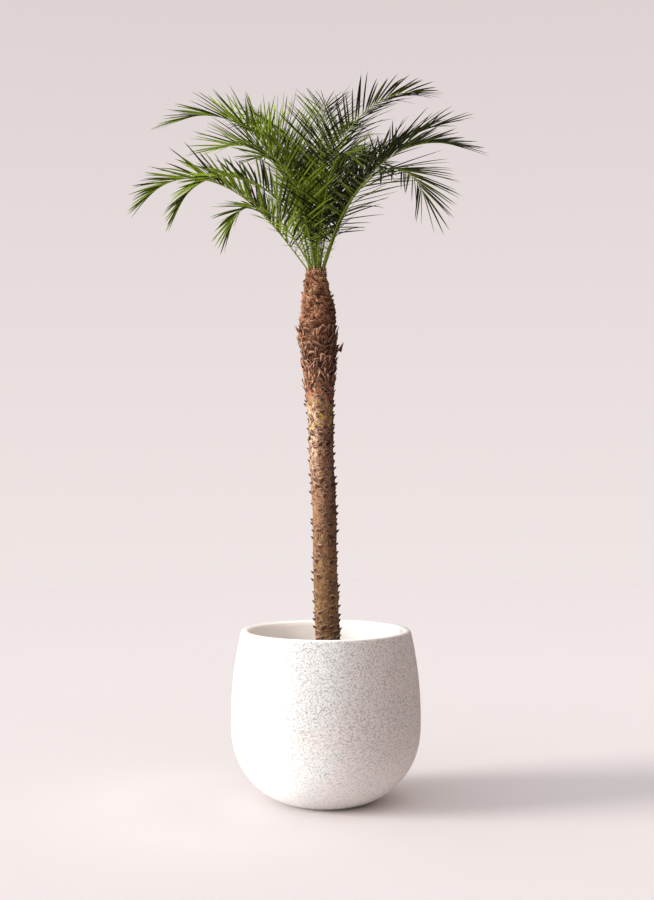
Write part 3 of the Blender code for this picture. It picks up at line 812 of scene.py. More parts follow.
class PALM_OT_soil(bpy.types.Operator):
    """Fill the pot with potting mix, bark chips and white grains"""

    bl_idname = "palm.soil"
    bl_label = "Soil"
    bl_options = {"REGISTER", "UNDO"}

    def execute(self, context):
        look = context.scene.palm_soil
        edge = pot_inner_radius(SOIL_LEVEL) - 0.0004
        bottom = POT_FLOOR + SEAT_GAP
        profile = [(0.0, bottom)]
        for n in range(17):
            height = mix(bottom, SOIL_LEVEL, n / 16)
            profile.append((pot_inner_radius(height) - SOIL_PLAY, height))
        for n in range(1, 61):
            profile.append((mix(edge, FOOT_HOLE_RADIUS, n / 60), SOIL_LEVEL + SOIL_MOUND))
        foot = SOIL_LEVEL - FOOT_DEPTH - SEAT_GAP
        bm = turned([*profile, (FOOT_HOLE_RADIUS, foot), (0.0, foot)], 180)
        for vert in bm.verts:
            far = math.hypot(vert.co.x, vert.co.y)
            if vert.co.z > foot - 0.01 and far < edge - 0.001:
                if vert.co.z > SOIL_LEVEL + 0.001:
                    vert.co.z = soil_height(vert.co.x, vert.co.y)
                vert.co.x += FOOT_X * (1 - max(0.0, far - FOOT_HOLE_RADIUS) / (edge - FOOT_HOLE_RADIUS))
        make_piece("soil_dressed", bm, [soil_finish(look)], ("soil",), 60)
        self.scatter("bark_chips", look.chips, (0.0045, 0.0115), (0.35, 0.22), chip_finish(), 21)
        self.scatter("mineral_grains", look.grains, (0.0012, 0.0028), (0.8, 0.75), mineral_finish(), 22)
        return {"FINISHED"}

    def scatter(self, name, count, sizes, squash, finish, seed):
        """Many small lumps that lie on the soil."""
        lump = bmesh.new()
        bmesh.ops.create_icosphere(lump, subdivisions=1, radius=1.0)
        growth = Growth(new_form(name, lump), seed, "tone")
        draw = growth.draw
        reach = pot_inner_radius(SOIL_LEVEL) - 0.012
        for _ in range(count):
            far = math.sqrt(draw.uniform(0.0375**2, reach**2))
            around = draw.uniform(0, math.tau)
            x, y = FOOT_X * 0.5 + far * math.cos(around), far * math.sin(around)
            size = draw.uniform(*sizes) * draw.uniform(0.6, 1.0)
            turn = Matrix.Rotation(draw.uniform(0, math.tau), 3, "Z")
            turn = turn @ Matrix.Rotation(draw.gauss(0, 0.35), 3, "X")
            middle = Vector((x, y, soil_height(x, y) + size * squash[1] * 0.45))
            tone = (draw.random(), 0, 0, 1)
            shape = Vector((size, size * squash[0] * draw.uniform(0.8, 1.5), size * squash[1]))

            def place(point):
                rough = 1 + draw.uniform(-0.25, 0.25)
                return middle + turn @ Vector([point[n] * shape[n] * rough for n in range(3)]), tone

            growth.add(place)
        growth.close(name, finish, "soil")


# Trunk


def trunk_at(height):
    """The stem's centre x and radius at a height."""
    for (z0, x0, r0), (z1, x1, r1) in zip(TRUNK_OUTLINE, TRUNK_OUTLINE[1:]):
        if height <= z1:
            share = max(0.0, (height - z0) / (z1 - z0))
            share = share * share * (3 - 2 * share)
            return mix(x0, x1, share), mix(r0, r1, share)
    return TRUNK_OUTLINE[-1][1], TRUNK_OUTLINE[-1][2]


def lattice_heights():
    """Heights of the rings of leaf scars."""
    heights = [LATTICE_START]
    while heights[-1] < NECK_TOP:
        heights.append(heights[-1] + STUB_SPACING * trunk_at(heights[-1])[1])
    scale = (NECK_TOP - LATTICE_START) / (heights[-1] - LATTICE_START)
    return [LATTICE_START + (height - LATTICE_START) * scale for height in heights]


LATTICE = lattice_heights()


def scar_places():
    """The angle and height of the middle of each leaf scar, ring by ring."""
    for k in range(1, len(LATTICE) - 1):
        for i in range(STUBS_AROUND):
            yield (i + 0.5 + 0.5 * (k % 2)) * math.tau / STUBS_AROUND + STUB_SPIRAL * k, LATTICE[k]


def stem_point(angle, height, out=0.0):
    """A point at an angle round the stem, out from its surface."""
    centre, radius = trunk_at(height)
    return Vector((centre + (radius + out) * math.cos(angle), (radius + out) * math.sin(angle), height))


def spokes(angle):
    """The directions out from the stem and round it, at an angle."""
    return Vector((math.cos(angle), math.sin(angle), 0)), Vector((-math.sin(angle), math.cos(angle), 0))


def noise_at(points, scale, seed):
    """Noise at many points."""
    wide, deep, tall = scale
    return np.array([noise.noise(Vector((x * wide + seed, y * deep, z * tall))) for x, y, z in points])


class Bark:
    """The stem's relief and colour marks, worked out for all its points at once."""

    def __init__(self, seed):
        self.random = np.random.default_rng(seed).random((6, len(LATTICE), STUBS_AROUND))

    def scars(self, angle, height):
        """Relief from the old leaf bases, with painted shade in their hollows and under their lips, and pale
        lip edges that are partly their own colour and partly painted highlight.
        """
        place = np.interp(height, LATTICE, np.arange(len(LATTICE)))
        column = angle * STUBS_AROUND / math.tau - STUB_SPIRAL * place * STUBS_AROUND / math.tau
        raised, sunk, under, pale, tone = (np.zeros_like(height) for _ in range(5))
        best = np.full_like(height, -1.0)
        upper = ease(0.78, 0.98, height)
        for step in (-1, 0, 1, 2):
            k = np.floor(place).astype(int) + step
            inside = (k >= 1) & (k < len(LATTICE) - 1)
            k = np.clip(k, 1, len(LATTICE) - 2)
            shift = 0.5 * (k % 2)
            cell = np.floor(column - shift)
            across = column - shift - cell - 0.5
            up = place - k
            i = cell.astype(int) % STUBS_AROUND
            one, two, three, four, five, six = self.random[:, k, i]
            half = mix(0.32, 0.24, upper) + mix(0.16, 0.24, upper) * one
            across = across + 0.16 * (two - 0.5)
            shape = np.clip(1 - (across / half) ** 2, 0, 1)
            bend = -0.42 + 0.74 * three
            lip = 0.05 + 0.36 * (four - 0.5) + bend * (across / half) ** 2 + 0.8 * (six - 0.5) * across / half
            ramp = np.clip((up - lip + 0.85) / 0.85, 0, 1) ** 2.2 * (up <= lip)
            rare = mix(mix(0.25, 0.58, ease(0.42, 0.56, height)), 0.30, upper)
            size = np.where(five < rare, 0.06, mix(0.7, 1.0, two)) * inside
            strong = size * mix(1.0, 1.2, upper)
            raised = np.maximum(raised, ramp * shape**0.6 * strong * 0.0046)
            depth = np.clip(1 - (up - lip) / (0.30 + 0.22 * one), 0, 1) ** 0.6 * (up > lip)
            sunk = np.maximum(sunk, depth * shape**0.8 * strong * mix(0.35, 0.55, upper))
            # A lens of painted shade on the downward-facing side under each lip.
            below = (lip - up) / (0.10 + (0.34 + 0.34 * one) * mix(1.6, 1.1, upper) * shape)
            lens = ease(0.12, 0.30, below) * (1 - ease(0.70, 1.05, below)) * (shape > 0)
            under = np.maximum(under, lens * shape**0.3 * strong)
            # Pale lip edge: partly the lip's own colour, partly painted highlight where it catches the light.
            edge = np.exp(-(((up - lip + 0.09) / mix(0.21, 0.15, upper)) ** 2))
            edge = edge * (shape > 0) * shape**0.3 * strong
            pale = np.maximum(pale, edge)
            near = shape * np.exp(-(up**2) * 2.2) * inside
            tone = np.where(near > best, three, tone)
            best = np.maximum(best, near)
        return raised, sunk, under, pale, tone

    def relief(self, points, angle):
        """How far each point moves out, and its marks: dark (painted shade in the hollows, under the lips and
        between the head's ridges), pale (the lip edges, partly painted highlight, and painted glints on the
        head's ridges) and patch.
        """
        height = points[:, 2]
        fine = noise_at(points, (230, 230, 150), 3.0)
        mid = noise_at(points, (60, 60, 38), 7.0)
        cross = noise_at(points, (95, 95, 240), 11.0)
        warped = height + 0.006 * noise_at(points, (45, 45, 60), 9.0)
        raised, sunk, under, pale, tone = self.scars(angle + 0.16 * mid, warped)
        head = ease(1.235, 1.275, height) * (1 - ease(1.385, 1.40, height))
        boots = ease(BOOTS_FROM - 0.02, BOOTS_FROM + 0.02, height) * (1 - ease(1.25, 1.28, height))
        wave = points + 0.016 * np.stack([mid, cross, mid], axis=1)
        swirl = noise_at(wave, (34, 34, 78), 5.0)
        ridge = (1 - np.abs(swirl) * 2.4).clip(0, 1) ** 1.5
        quiet = 1 - 0.25 * head
        out = 0.0014 + raised * quiet - sunk * 0.0044 * quiet
        out += 0.0005 * fine + 0.0012 * mid
        out += head * (0.0054 * ridge - 0.0032 + 0.0016 * cross)
        out -= boots * 0.0030
        fade = 1 - ease(1.385, 1.399, height)
        buried = ease(0.378, 0.392, height)
        # Dark mark: painted shade in the sunk hollows, between the head's ridges and under the lips. Pale
        # mark: the lip edges, partly painted highlight, and painted glints on the head's ridges.
        dark = np.clip(sunk * 1.9 - 0.15 + head * 0.95 * (1 - ridge) ** 2 * (cross < 0.15), 0, 1)
        dark = np.maximum(dark, 0.95 * under * (1 - 0.5 * head))
        light = np.clip(pale * (1 - 0.35 * head) + head * 0.55 * ridge, 0, 1)
        return out * fade * buried, np.stack([dark, light, tone, raised / 0.004], axis=1)


def painted_shade_right_side(finish, colour):
    """Painted shade: darken a colour on the stem's right side, away from the key light, more so high up."""
    across = finish.along("X")
    side = across.rise(-0.028, 0.03, 0.0, 1.0)
    side *= finish.along("Z").rise(0.45, 0.85, 0.25, 1.0)
    shaded = colour.tint((0.16, 0.1, 0.085))
    return (side * 0.85).blend(colour, shaded)


def bark_finish(look):
    """Bark that goes from smooth tan through a mottled stretch to a fibrous orange-brown head, with painted
    shade in its hollows, behind the leaf bases and on its right side, and painted highlight on part of its
    left side and, in part, on its lip edges.
    """
    finish = Finish("palm_bark", 0.88, 0.2)
    dark, pale, tone, _ = finish.mark("bark")
    height = finish.along("Z")
    grain = finish.noise(420.0, 4.0, 0.65, 0.5, finish.stretched((1, 1, 0.35)))
    streak = finish.noise(130.0, 4.0, 0.65, 1.2, finish.stretched((1, 1, 0.5)))
    blots = finish.noise(120.0, 4.0, 0.7, 1.0)
    broad = finish.noise(22.0, 4.0, 0.6, 0.8)
    spots = finish.noise(48.0, 3.0, 0.6, 1.0)
    threads = finish.noise(95.0, 3.0, 0.6, 2.0, finish.stretched((1, 1, 0.6), (0.6, 0.5, 0.0)))
    threads = abs(threads - 0.5).rise(0.03, 0.004)
    flecks = finish.noise(150.0, 3.0, 0.75, 1.6, finish.stretched((1, 1, 1.6)))
    welts = finish.noise(64.0, 3.5, 0.65, 1.8, finish.stretched((1, 1, 1.8)))
    rough = height.rise(0.5, 0.95, 0.55, 1.0)
    dark_flecks = flecks.ramp((0.54, 0.0), (0.6, 0.9)) * rough
    pale_flecks = flecks.ramp((0.39, 0.9), (0.45, 0.0)) * rough
    low = broad.ramp((0.38, 0.0), (0.62, 0.9)).blend(look.bark, (0.17, 0.072, 0.03))
    low = streak.ramp((0.48, 0.0), (0.62, 0.8)).blend(low, (0.54, 0.36, 0.17))
    low = blots.ramp((0.52, 0.0), (0.61, 0.85)).blend(low, (0.1, 0.04, 0.018))
    patches = (spots - 0.5).scaled(0.9, tone).ramp(
        (0.05, (0.2, 0.05, 0.03)),
        (0.22, (0.42, 0.17, 0.085)),
        (0.42, (0.62, 0.35, 0.21)),
        (0.6, (0.4, 0.21, 0.12)),
        (0.74, (0.6, 0.4, 0.07)),
        (0.92, (0.52, 0.12, 0.035)),
    )
    patches = height.rise(0.93, 0.8, 0.0, 0.75).blend(patches, (0.47, 0.265, 0.14))
    patches = blots.ramp((0.47, 0.0), (0.58, 0.9)).blend(patches, (0.085, 0.026, 0.018))
    patches = welts.ramp((0.45, 0.0), (0.5, 0.92)).blend(patches, (0.14, 0.045, 0.034))
    mottled = height.rise(0.7, 0.86) * height.rise(1.16, 1.1)
    mottled *= broad.rise(0.3, 0.55, 0.5, 0.95)
    foot = height.rise(0.66, 0.42, 0.15, 0.9) * welts.rise(0.44, 0.58)
    low = foot.blend(low, (0.06, 0.02, 0.012))
    rusty = height.rise(0.5, 0.8, 0.2, 0.8) * welts.ramp((0.44, 1.0), (0.5, 0.0))
    low = rusty.blend(low, (0.26, 0.075, 0.036))
    colour = mottled.blend(low, patches)
    fibrous = height.rise(1.08, 1.14)
    fibre = streak.ramp((0.35, 0.0), (0.65, 1.0)).blend((0.15, 0.045, 0.018), look.head)
    fibre = blots.ramp((0.49, 0.0), (0.58, 0.9)).blend(fibre, (0.045, 0.014, 0.009))
    fibre = spots.ramp((0.55, 0.0), (0.7, 0.5)).blend(fibre, (0.58, 0.27, 0.12))
    colour = fibrous.blend(colour, fibre)
    colour = colour.tint(tone.ramp((0.0, 0.7), (1.0, 1.25)))
    colour = dark_flecks.blend(colour, fibrous.blend((0.155, 0.04, 0.022), (0.06, 0.015, 0.008)))
    pale_fleck = height.rise(0.7, 0.86).blend((0.52, 0.34, 0.15), (0.84, 0.54, 0.34))
    colour = pale_flecks.blend(colour, fibrous.blend(pale_fleck, (0.72, 0.34, 0.18)))
    yellow = height.rise(0.965, 0.985) * height.rise(1.065, 1.045)
    yellow *= spots.ramp((0.55, 0.0), (0.58, 0.85))
    colour = yellow.blend(colour, (0.6, 0.43, 0.05))
    orange = height.rise(1.05, 1.06) * height.rise(1.11, 1.09)
    orange *= welts.ramp((0.45, 0.75), (0.5, 0.0))
    colour = orange.blend(colour, (0.48, 0.1, 0.03))
    across = finish.along("X")
    # Painted highlight: part of the lit left side, between heights 0.84 and 1.08, turns pale pink-cream,
    # except on the yellow spots.
    painted_highlight_left = height.rise(0.84, 0.92) * height.rise(1.08, 1.02)
    painted_highlight_left *= across.rise(-0.014, -0.034, 0.0, 0.95)
    painted_highlight_left *= blots.rise(0.56, 0.44, 0.0, 1.0)
    painted_highlight_left *= 1.0 - yellow
    colour = painted_highlight_left.blend(colour, (0.98, 0.7, 0.5))
    # Painted shade on the stem behind the leaf bases, between heights 1.09 and 1.275.
    behind = height.rise(1.09, 1.12) * height.rise(1.275, 1.245)
    colour = (behind * 0.75).blend(colour, (0.05, 0.018, 0.01))
    colour = height.rise(1.325, 1.385, 0.0, 0.4).blend(colour, (0.11, 0.04, 0.02))
    # Pale lips and threads: the lips' paleness is partly their own colour and partly painted highlight.
    edge = pale * grain.rise(0.25, 0.55, 0.3, 0.95)
    edge = edge.larger(threads * height.rise(0.62, 0.95, 0.25, 0.8))
    colour = edge.blend(colour, fibrous.blend(look.lip, (0.68, 0.36, 0.21)))
    # Painted shade: where the dark mark lies, hollows, gaps and lip undersides turn near black.
    colour = (dark * 0.92).blend(colour, tone.blend(look.hollow, (0.13, 0.032, 0.018)))
    colour = colour.tint(grain.ramp((0.3, 0.72), (0.65, 1.12)))
    relief = blots.bump(0.003, 0.7)
    relief = streak.bump(0.002, 0.8, relief)
    relief = grain.bump(0.0008, 0.8, relief)
    # The right side gets painted shade, darker higher up.
    return finish.done(painted_shade_right_side(finish, colour), relief)


def hook_finish(look):
    """Dry, nearly black hooks with paler roots."""
    finish = Finish("dry_hook", 0.7, 0.35)
    along, _, tone, _ = finish.mark("blade")
    root = tone.blend((0.13, 0.07, 0.035), (0.3, 0.18, 0.09))
    colour = along.rise(0.15, 0.55).blend(root, look.hook)
    grain = finish.noise(700.0, 3.0)
    colour = colour.tint(grain.ramp((0.3, 0.7), (0.7, 1.2)))
    # The hooks on the right side get painted shade.
    return finish.done(painted_shade_right_side(finish, colour), grain.bump(0.0004, 0.6))


def boot_finish(look):
    """Split leaf bases: brown outside, dark inside, with pinkish-cream edges that are partly their own colour
    and partly painted highlight.
    """
    finish = Finish("leaf_base", 0.85, 0.25)
    along, edge, tone, inside = finish.mark("blade")
    fibre = finish.noise(380.0, 4.0, 0.65, 0.4, finish.stretched((1, 1, 0.16)))
    face = tone.ramp((0.0, (0.11, 0.036, 0.018)), (0.45, (0.32, 0.115, 0.05)), (0.8, (0.58, 0.28, 0.16)))
    face = fibre.ramp((0.4, 0.0), (0.62, 0.8)).blend(face, (0.085, 0.034, 0.02))
    core = tone.blend((0.024, 0.009, 0.006), (0.15, 0.045, 0.018))
    colour = edge.rise(0.75, 0.4, 0.0, 0.92).blend(face, core)
    # Rim: pinkish-cream edges and tops, partly the edges' own colour and partly painted highlight.
    rim = edge.rise(0.6, 0.85).larger(along.rise(0.86, 0.97))
    rim *= along.rise(0.1, 0.5, 0.3, 1.0)
    rim *= finish.noise(90.0, 3.0).rise(0.35, 0.55, 0.25, 1.0)
    rim *= inside.rise(0.0, 1.0, 0.6, 1.0)
    rim *= tone.rise(0.1, 0.9, 0.35, 1.0)
    colour = rim.blend(colour, (0.92, 0.58, 0.37))
    colour = colour.tint(fibre.ramp((0.3, 0.75), (0.7, 1.15)))
    # The leaf bases on the right side get painted shade.
    return finish.done(painted_shade_right_side(finish, colour), fibre.bump(0.001, 0.8))


def fibre_finish():
    """Loose brown fibres."""
    finish = Finish("sheath_fibre", 0.8, 0.3)
    _, _, tone, _ = finish.mark("blade")
    colour = tone.ramp((0.0, (0.1, 0.045, 0.022)), (0.6, (0.3, 0.15, 0.07)), (1.0, (0.52, 0.34, 0.2)))
    grain = finish.noise(500.0, 2.0)
    # The fibres on the right side get painted shade.
    return finish.done(painted_shade_right_side(finish, colour), grain.bump(0.0003, 0.5))


def cut_finish():
    """Fresh yellow-green faces of cut petioles, with a brown skin."""
    finish = Finish("cut_petiole", 0.7, 0.3)
    along, _, tone, _ = finish.mark("blade")
    grain = finish.noise(900.0, 3.0)
    fresh = grain.ramp((0.4, 0.0), (0.65, 0.7)).blend((0.52, 0.48, 0.1), (0.62, 0.58, 0.32))
    skin = tone.blend((0.2, 0.08, 0.035), (0.34, 0.2, 0.11))
    return finish.done(along.rise(0.93, 0.99).blend(skin, fresh), grain.bump(0.0004, 0.7))


class PALM_OT_trunk(bpy.types.Operator):
    """Make the stem with its leaf scars and its fibrous head"""

    bl_idname = "palm.trunk"
    bl_label = "Trunk"
    bl_options = {"REGISTER", "UNDO"}

    def execute(self, context):
        look = context.scene.palm_trunk
        profile = [(0.0, SOIL_LEVEL - FOOT_DEPTH), (0.028, SOIL_LEVEL - FOOT_DEPTH)]
        start = SOIL_LEVEL - 0.012
        for n in range(look.rings + 1):
            height = mix(start, NECK_TOP, n / look.rings)
            profile.append((trunk_at(height)[1], height))
        profile.append((0.0, NECK_TOP))
        bm = turned(profile, look.sides)
        piece = make_piece("trunk_dressed", bm, [bark_finish(look)], ("trunk",), 180)
        mesh = piece.data
        flat = np.empty(len(mesh.vertices) * 3)
        mesh.vertices.foreach_get("co", flat)
        points = flat.reshape(-1, 3)
        angle = np.arctan2(points[:, 1], points[:, 0]) % math.tau
        far = np.hypot(points[:, 0], points[:, 1])
        out, marks = Bark(17).relief(points, angle)
        out *= far > 0.005
        points[:, 0] += np.cos(angle) * out
        points[:, 1] += np.sin(angle) * out
        points[:, 2] += out.clip(0, 1) * 0.45 * (points[:, 2] < NECK_TOP - 0.004)
        outline = np.array(TRUNK_OUTLINE)
        points[:, 0] += [trunk_at(z)[0] for z in points[:, 2].clip(outline[0, 0], None)]
        mesh.vertices.foreach_set("co", points.ravel())
        layer = mesh.attributes.new("bark", "FLOAT_COLOR", "POINT")
        layer.data.foreach_set("color", marks.astype(np.float32).ravel())
        mesh.update()
        return {"FINISHED"}


class PALM_OT_stubs(bpy.types.Operator):
    """Add the hooks, split leaf bases, cut stubs and loose fibres of the trunk"""

    bl_idname = "palm.stubs"
    bl_label = "Leaf bases"
    bl_options = {"REGISTER", "UNDO"}

    def execute(self, context):
        look = context.scene.palm_trunk
        self.add_hooks(look)
        self.add_boots(look)
        self.add_cut_stubs()
        self.add_fibres()
        return {"FINISHED"}

    def add_hooks(self, look):
        """Pointed hooks that curve up and out."""
        growth = Growth(tube_form("hook_form", 5, 4, True), 31)
        draw = growth.draw
        places = []
        for side, heights in ((0.0, RIGHT_HOOKS), (math.pi, LEFT_HOOKS)):
            for height in heights:
                angle = side + draw.uniform(-0.16, 0.16)
                places.append((angle, height / 1000 - 0.005, draw.uniform(0.85, 1.3)))
        for angle, height in scar_places():
            if 0.42 < height < 1.0 and abs(math.sin(angle)) > 0.34 and draw.random() < 0.34:
                places.append((angle, height + draw.uniform(-0.004, 0.004), draw.uniform(0.35, 0.8)))
        for place in places:
            self.grow_hook(growth, *place)
        growth.close("trunk_hooks", hook_finish(look), sharp=40)

    def grow_hook(self, growth, angle, height, size):
        """One hook: a flattened cone that leaves the bark outwards and turns up."""
        out, side = spokes(angle)
        lean = growth.draw.uniform(-0.25, 0.25)
        path, widths, heights, ups = [], [], [], []
        point = stem_point(angle, height, -0.0012)
        for n in range(6):
            share = n / 5
            rise = math.radians(mix(8, 66, share**0.8))
            heading = (out * math.cos(rise) + UP * math.sin(rise) + side * lean * share).normalized()
            path.append(point)
            widths.append(0.0042 * size * (1 - share) ** 0.9 + 0.0002)
            heights.append(0.0048 * size * (1 - share) ** 1.1 + 0.0002)
            ups.append(heading.cross(side))
            point = point + heading * (0.0100 * size) / 5
        growth.add_bent(path, widths, heights, [side] * 6, ups)

    def add_boots(self, look):
        """Split leaf bases that stand up round the upper stem like shingles."""
        bm = bmesh.new()
        bmesh.ops.create_grid(bm, x_segments=6, y_segments=7, size=0.5)
        bmesh.ops.solidify(bm, geom=list(bm.faces), thickness=1.0)
        bmesh.ops.recalc_face_normals(bm, faces=bm.faces)
        middle = min(vert.co.z for vert in bm.verts) / 2
        growth = Growth(new_form("boot_form", bm), 41)
        draw = growth.draw
        for angle, height in scar_places():
            if not BOOTS_FROM < height < BOOTS_TO:
                continue
            full = ease(BOOTS_FROM, 1.14, height)
            for _ in range(2):
                if draw.random() > 0.8:
                    continue
                length = draw.uniform(0.014, 0.030) * mix(0.8, 1.0, full)
                width = draw.uniform(0.0130, 0.0220)
                flare = draw.uniform(0.0010, 0.0055) * mix(0.6, 1.0, full)
                around = angle + draw.gauss(0, 0.22)
                foot = height + draw.uniform(-0.022, -0.004)
                self.grow_boot(growth, middle, around, foot, length, width, flare)
        for n in range(22):
            around = n * math.tau / 22 + draw.uniform(-0.1, 0.1)
            size = (draw.uniform(0.012, 0.026), draw.uniform(0.006, 0.010), draw.uniform(-0.002, 0.0005))
            self.grow_boot(growth, middle, around, NECK_TOP - 0.016, *size)
        for angle, height, flare in LONG_BASES:
            self.grow_boot(growth, middle, angle, height, 0.030, 0.014, flare)
        growth.close("leaf_bases", boot_finish(look), sharp=45)

    def grow_boot(self, growth, middle, angle, foot, length, width, flare):
        """One leaf base: it hugs the stem below, and is split and hollow above."""
        draw = growth.draw
        notch = draw.uniform(0.35, 0.75) if draw.random() < 0.6 else draw.uniform(0.0, 0.3)
        skew = draw.uniform(-0.9, 0.9)
        tilt = draw.gauss(0, 0.40)
        spread = draw.uniform(0.6, 1.5)
        raise_edge = draw.uniform(0.0015, 0.0055)
        tone = draw.random()

        def rule(point):
            across = point.x * 2
            share = point.y + 0.5
            inner = 1.0 if point.z < middle else 0.0
            cut = 1 - notch * (1 - abs(across) ** 1.3) + skew * 0.3 * across
            height = foot + length * share * mix(1.0, cut, share**1.5)
            narrow = mix(0.60, spread, share) * mix(1.0, 0.8, share**6)
            around = angle + (across * width / 2 * narrow + tilt * length * share) / trunk_at(height)[1]
            trough = mix(0.0, raise_edge, share**0.6) * abs(across) ** 1.8
            trough += 0.0022 * (1 - share) * (1 - across**2)
            thick = mix(0.0035, 0.0016, share)
            out = -0.0008 + trough + flare * share**2.0 + 0.0012 * share - inner * thick
            return stem_point(around, height, out), (share, abs(across), tone, 1.0 - inner)

        growth.add(rule)

    def add_cut_stubs(self):
        """Short stubs of cut petioles on the neck."""
        growth = Growth(tube_form("cut_form", 9, 3, False), 51)
        draw = growth.draw
        places = []
        for offset, height in CUT_STUBS:
            share = offset / trunk_at(height)[1]
            places.append((-math.acos(max(-0.95, min(0.95, share))), height))
        for n in range(12):
            places.append((0.35 + n * 0.26 + draw.uniform(-0.1, 0.1), 1.335 + 0.045 * ((n * 0.618) % 1)))
        for angle, height in places:
            out, side = spokes(angle)
            rise = math.radians(draw.uniform(48, 62))
            heading = out * math.cos(rise) + UP * math.sin(rise)
            start = stem_point(angle, height - 0.012, -0.004)
            length = draw.uniform(0.015, 0.019)
            path = [start + heading * length * n / 4 for n in range(5)]
            width = draw.uniform(0.0036, 0.0050)
            widths = [width * mix(1.15, 0.95, n / 4) for n in range(5)]
            heights = [width * 0.62 * mix(1.2, 1.0, n / 4) for n in range(5)]
            growth.add_bent(path, widths, heights, [side] * 5, [heading.cross(side)] * 5)
        growth.close("cut_petioles", cut_finish(), sharp=40)

    def add_fibres(self):
        """Loose fibres wound round the head and a few that stand off it."""
        growth = Growth(tube_form("fibre_form", 3, 6, True), 61)
        draw = growth.draw
        for n in range(300):
            angle = draw.uniform(0, math.tau)
            height = draw.triangular(1.06, 1.39, 1.29)
            loose = n % 12 == 0
            turn = draw.choice((-1, 1)) * draw.uniform(0.3, 1.0)
            climb = draw.uniform(-0.25, 0.55)
            length = draw.uniform(0.018, 0.045)
            thick = draw.uniform(0.00022, 0.00050)
            stand = draw.uniform(0.0008, 0.0022)
            path, sides, ups = [], [], []
            for m in range(8):
                share = m / 7
                at = min(1.395, height + climb * length * share + 0.002 * math.sin(share * 5 + n))
                around = angle + turn * length * share / trunk_at(at)[1]
                out = stand + (0.010 * share**1.5 if loose else -0.003 * (2 * share - 1) ** 4)
                path.append(stem_point(around, at, out))
            for m, point in enumerate(path):
                heading = (path[min(7, m + 1)] - path[max(0, m - 1)]).normalized()
                ups.append((point - Vector((trunk_at(point.z)[0], 0, point.z))).normalized())
                sides.append(ups[m].cross(heading).normalized())
            widths = [thick * (1 - 0.7 * abs(2 * m / 7 - 1) ** 2) for m in range(8)]
            growth.add_bent(path, widths, widths, sides, ups)
        growth.close("loose_fibres", fibre_finish(), sharp=180)


# Fronds


def slots(ring):
    """Where each frond of a ring stands on the neck."""
    rows = sorted((row for row in FRONDS if row[1] == ring), key=lambda row: row[2])
    step = 360 / len(rows)
    start = sum(row[2] - n * step for n, row in enumerate(rows)) / len(rows)
    return {row[0]: math.radians(start + n * step) for n, row in enumerate(rows)}


class FrondCurve:
    """A frond's curve and its frame along the curve, as in the solid model."""

    def __init__(self, row, slot):
        self.name, ring, azimuth, rise, fall, self.length, lateness, roll, self.leaflet_size = row
        around = math.radians(azimuth)
        self.roll = math.radians(roll)
        radius = OUTER_RING if ring == "outer" else INNER_RING
        self.base_size = OUTER_BASE if ring == "outer" else INNER_BASE
        point = Vector((NECK_X + radius * math.cos(slot), radius * math.sin(slot), NECK_TOP - 0.002))
        self.points = [point]
        outward, self.side = spokes(around)
        for n in range(CURVE_STEPS):
            elevation = math.radians(rise - fall * ((n + 0.5) / CURVE_STEPS) ** lateness)
            heading = outward * math.cos(elevation) + Vector((0, 0, math.sin(elevation)))
            point = point + heading * (self.length / CURVE_STEPS)
            self.points.append(point)

    def at(self, share):
        """The point, the heading, the side and the upper face's normal at a share of the length."""
        place = min(max(share, 0.0), 1.0) * CURVE_STEPS
        n = min(int(place), CURVE_STEPS - 1)
        heading = (self.points[n + 1] - self.points[n]).normalized()
        point = self.points[n].lerp(self.points[n + 1], place - n)
        turn = Quaternion(heading, self.roll * min(1.0, share / ROLL_BY))
        side = turn @ self.side
        return point, heading, side, heading.cross(side)

    def size(self, share):
        """The stalk's half width and half height."""
        if share < LEAFLETS_FROM:
            part = share / LEAFLETS_FROM
            flare = 1 + 0.35 * (1 - min(1.0, share / 0.03)) ** 2
            slim = mix(0.8, SLIMMER, part) / 2
            return (
                mix(self.base_size[0], RACHIS_START[0], part) * flare * slim,
                mix(self.base_size[1], RACHIS_START[1], part) * slim,
            )
        part = (share - LEAFLETS_FROM) / (1 - LEAFLETS_FROM)
        width, height = (mix(low, high, part) * (SLIMMER / 2) for low, high in zip(RACHIS_START, RACHIS_TIP))
        return width, height


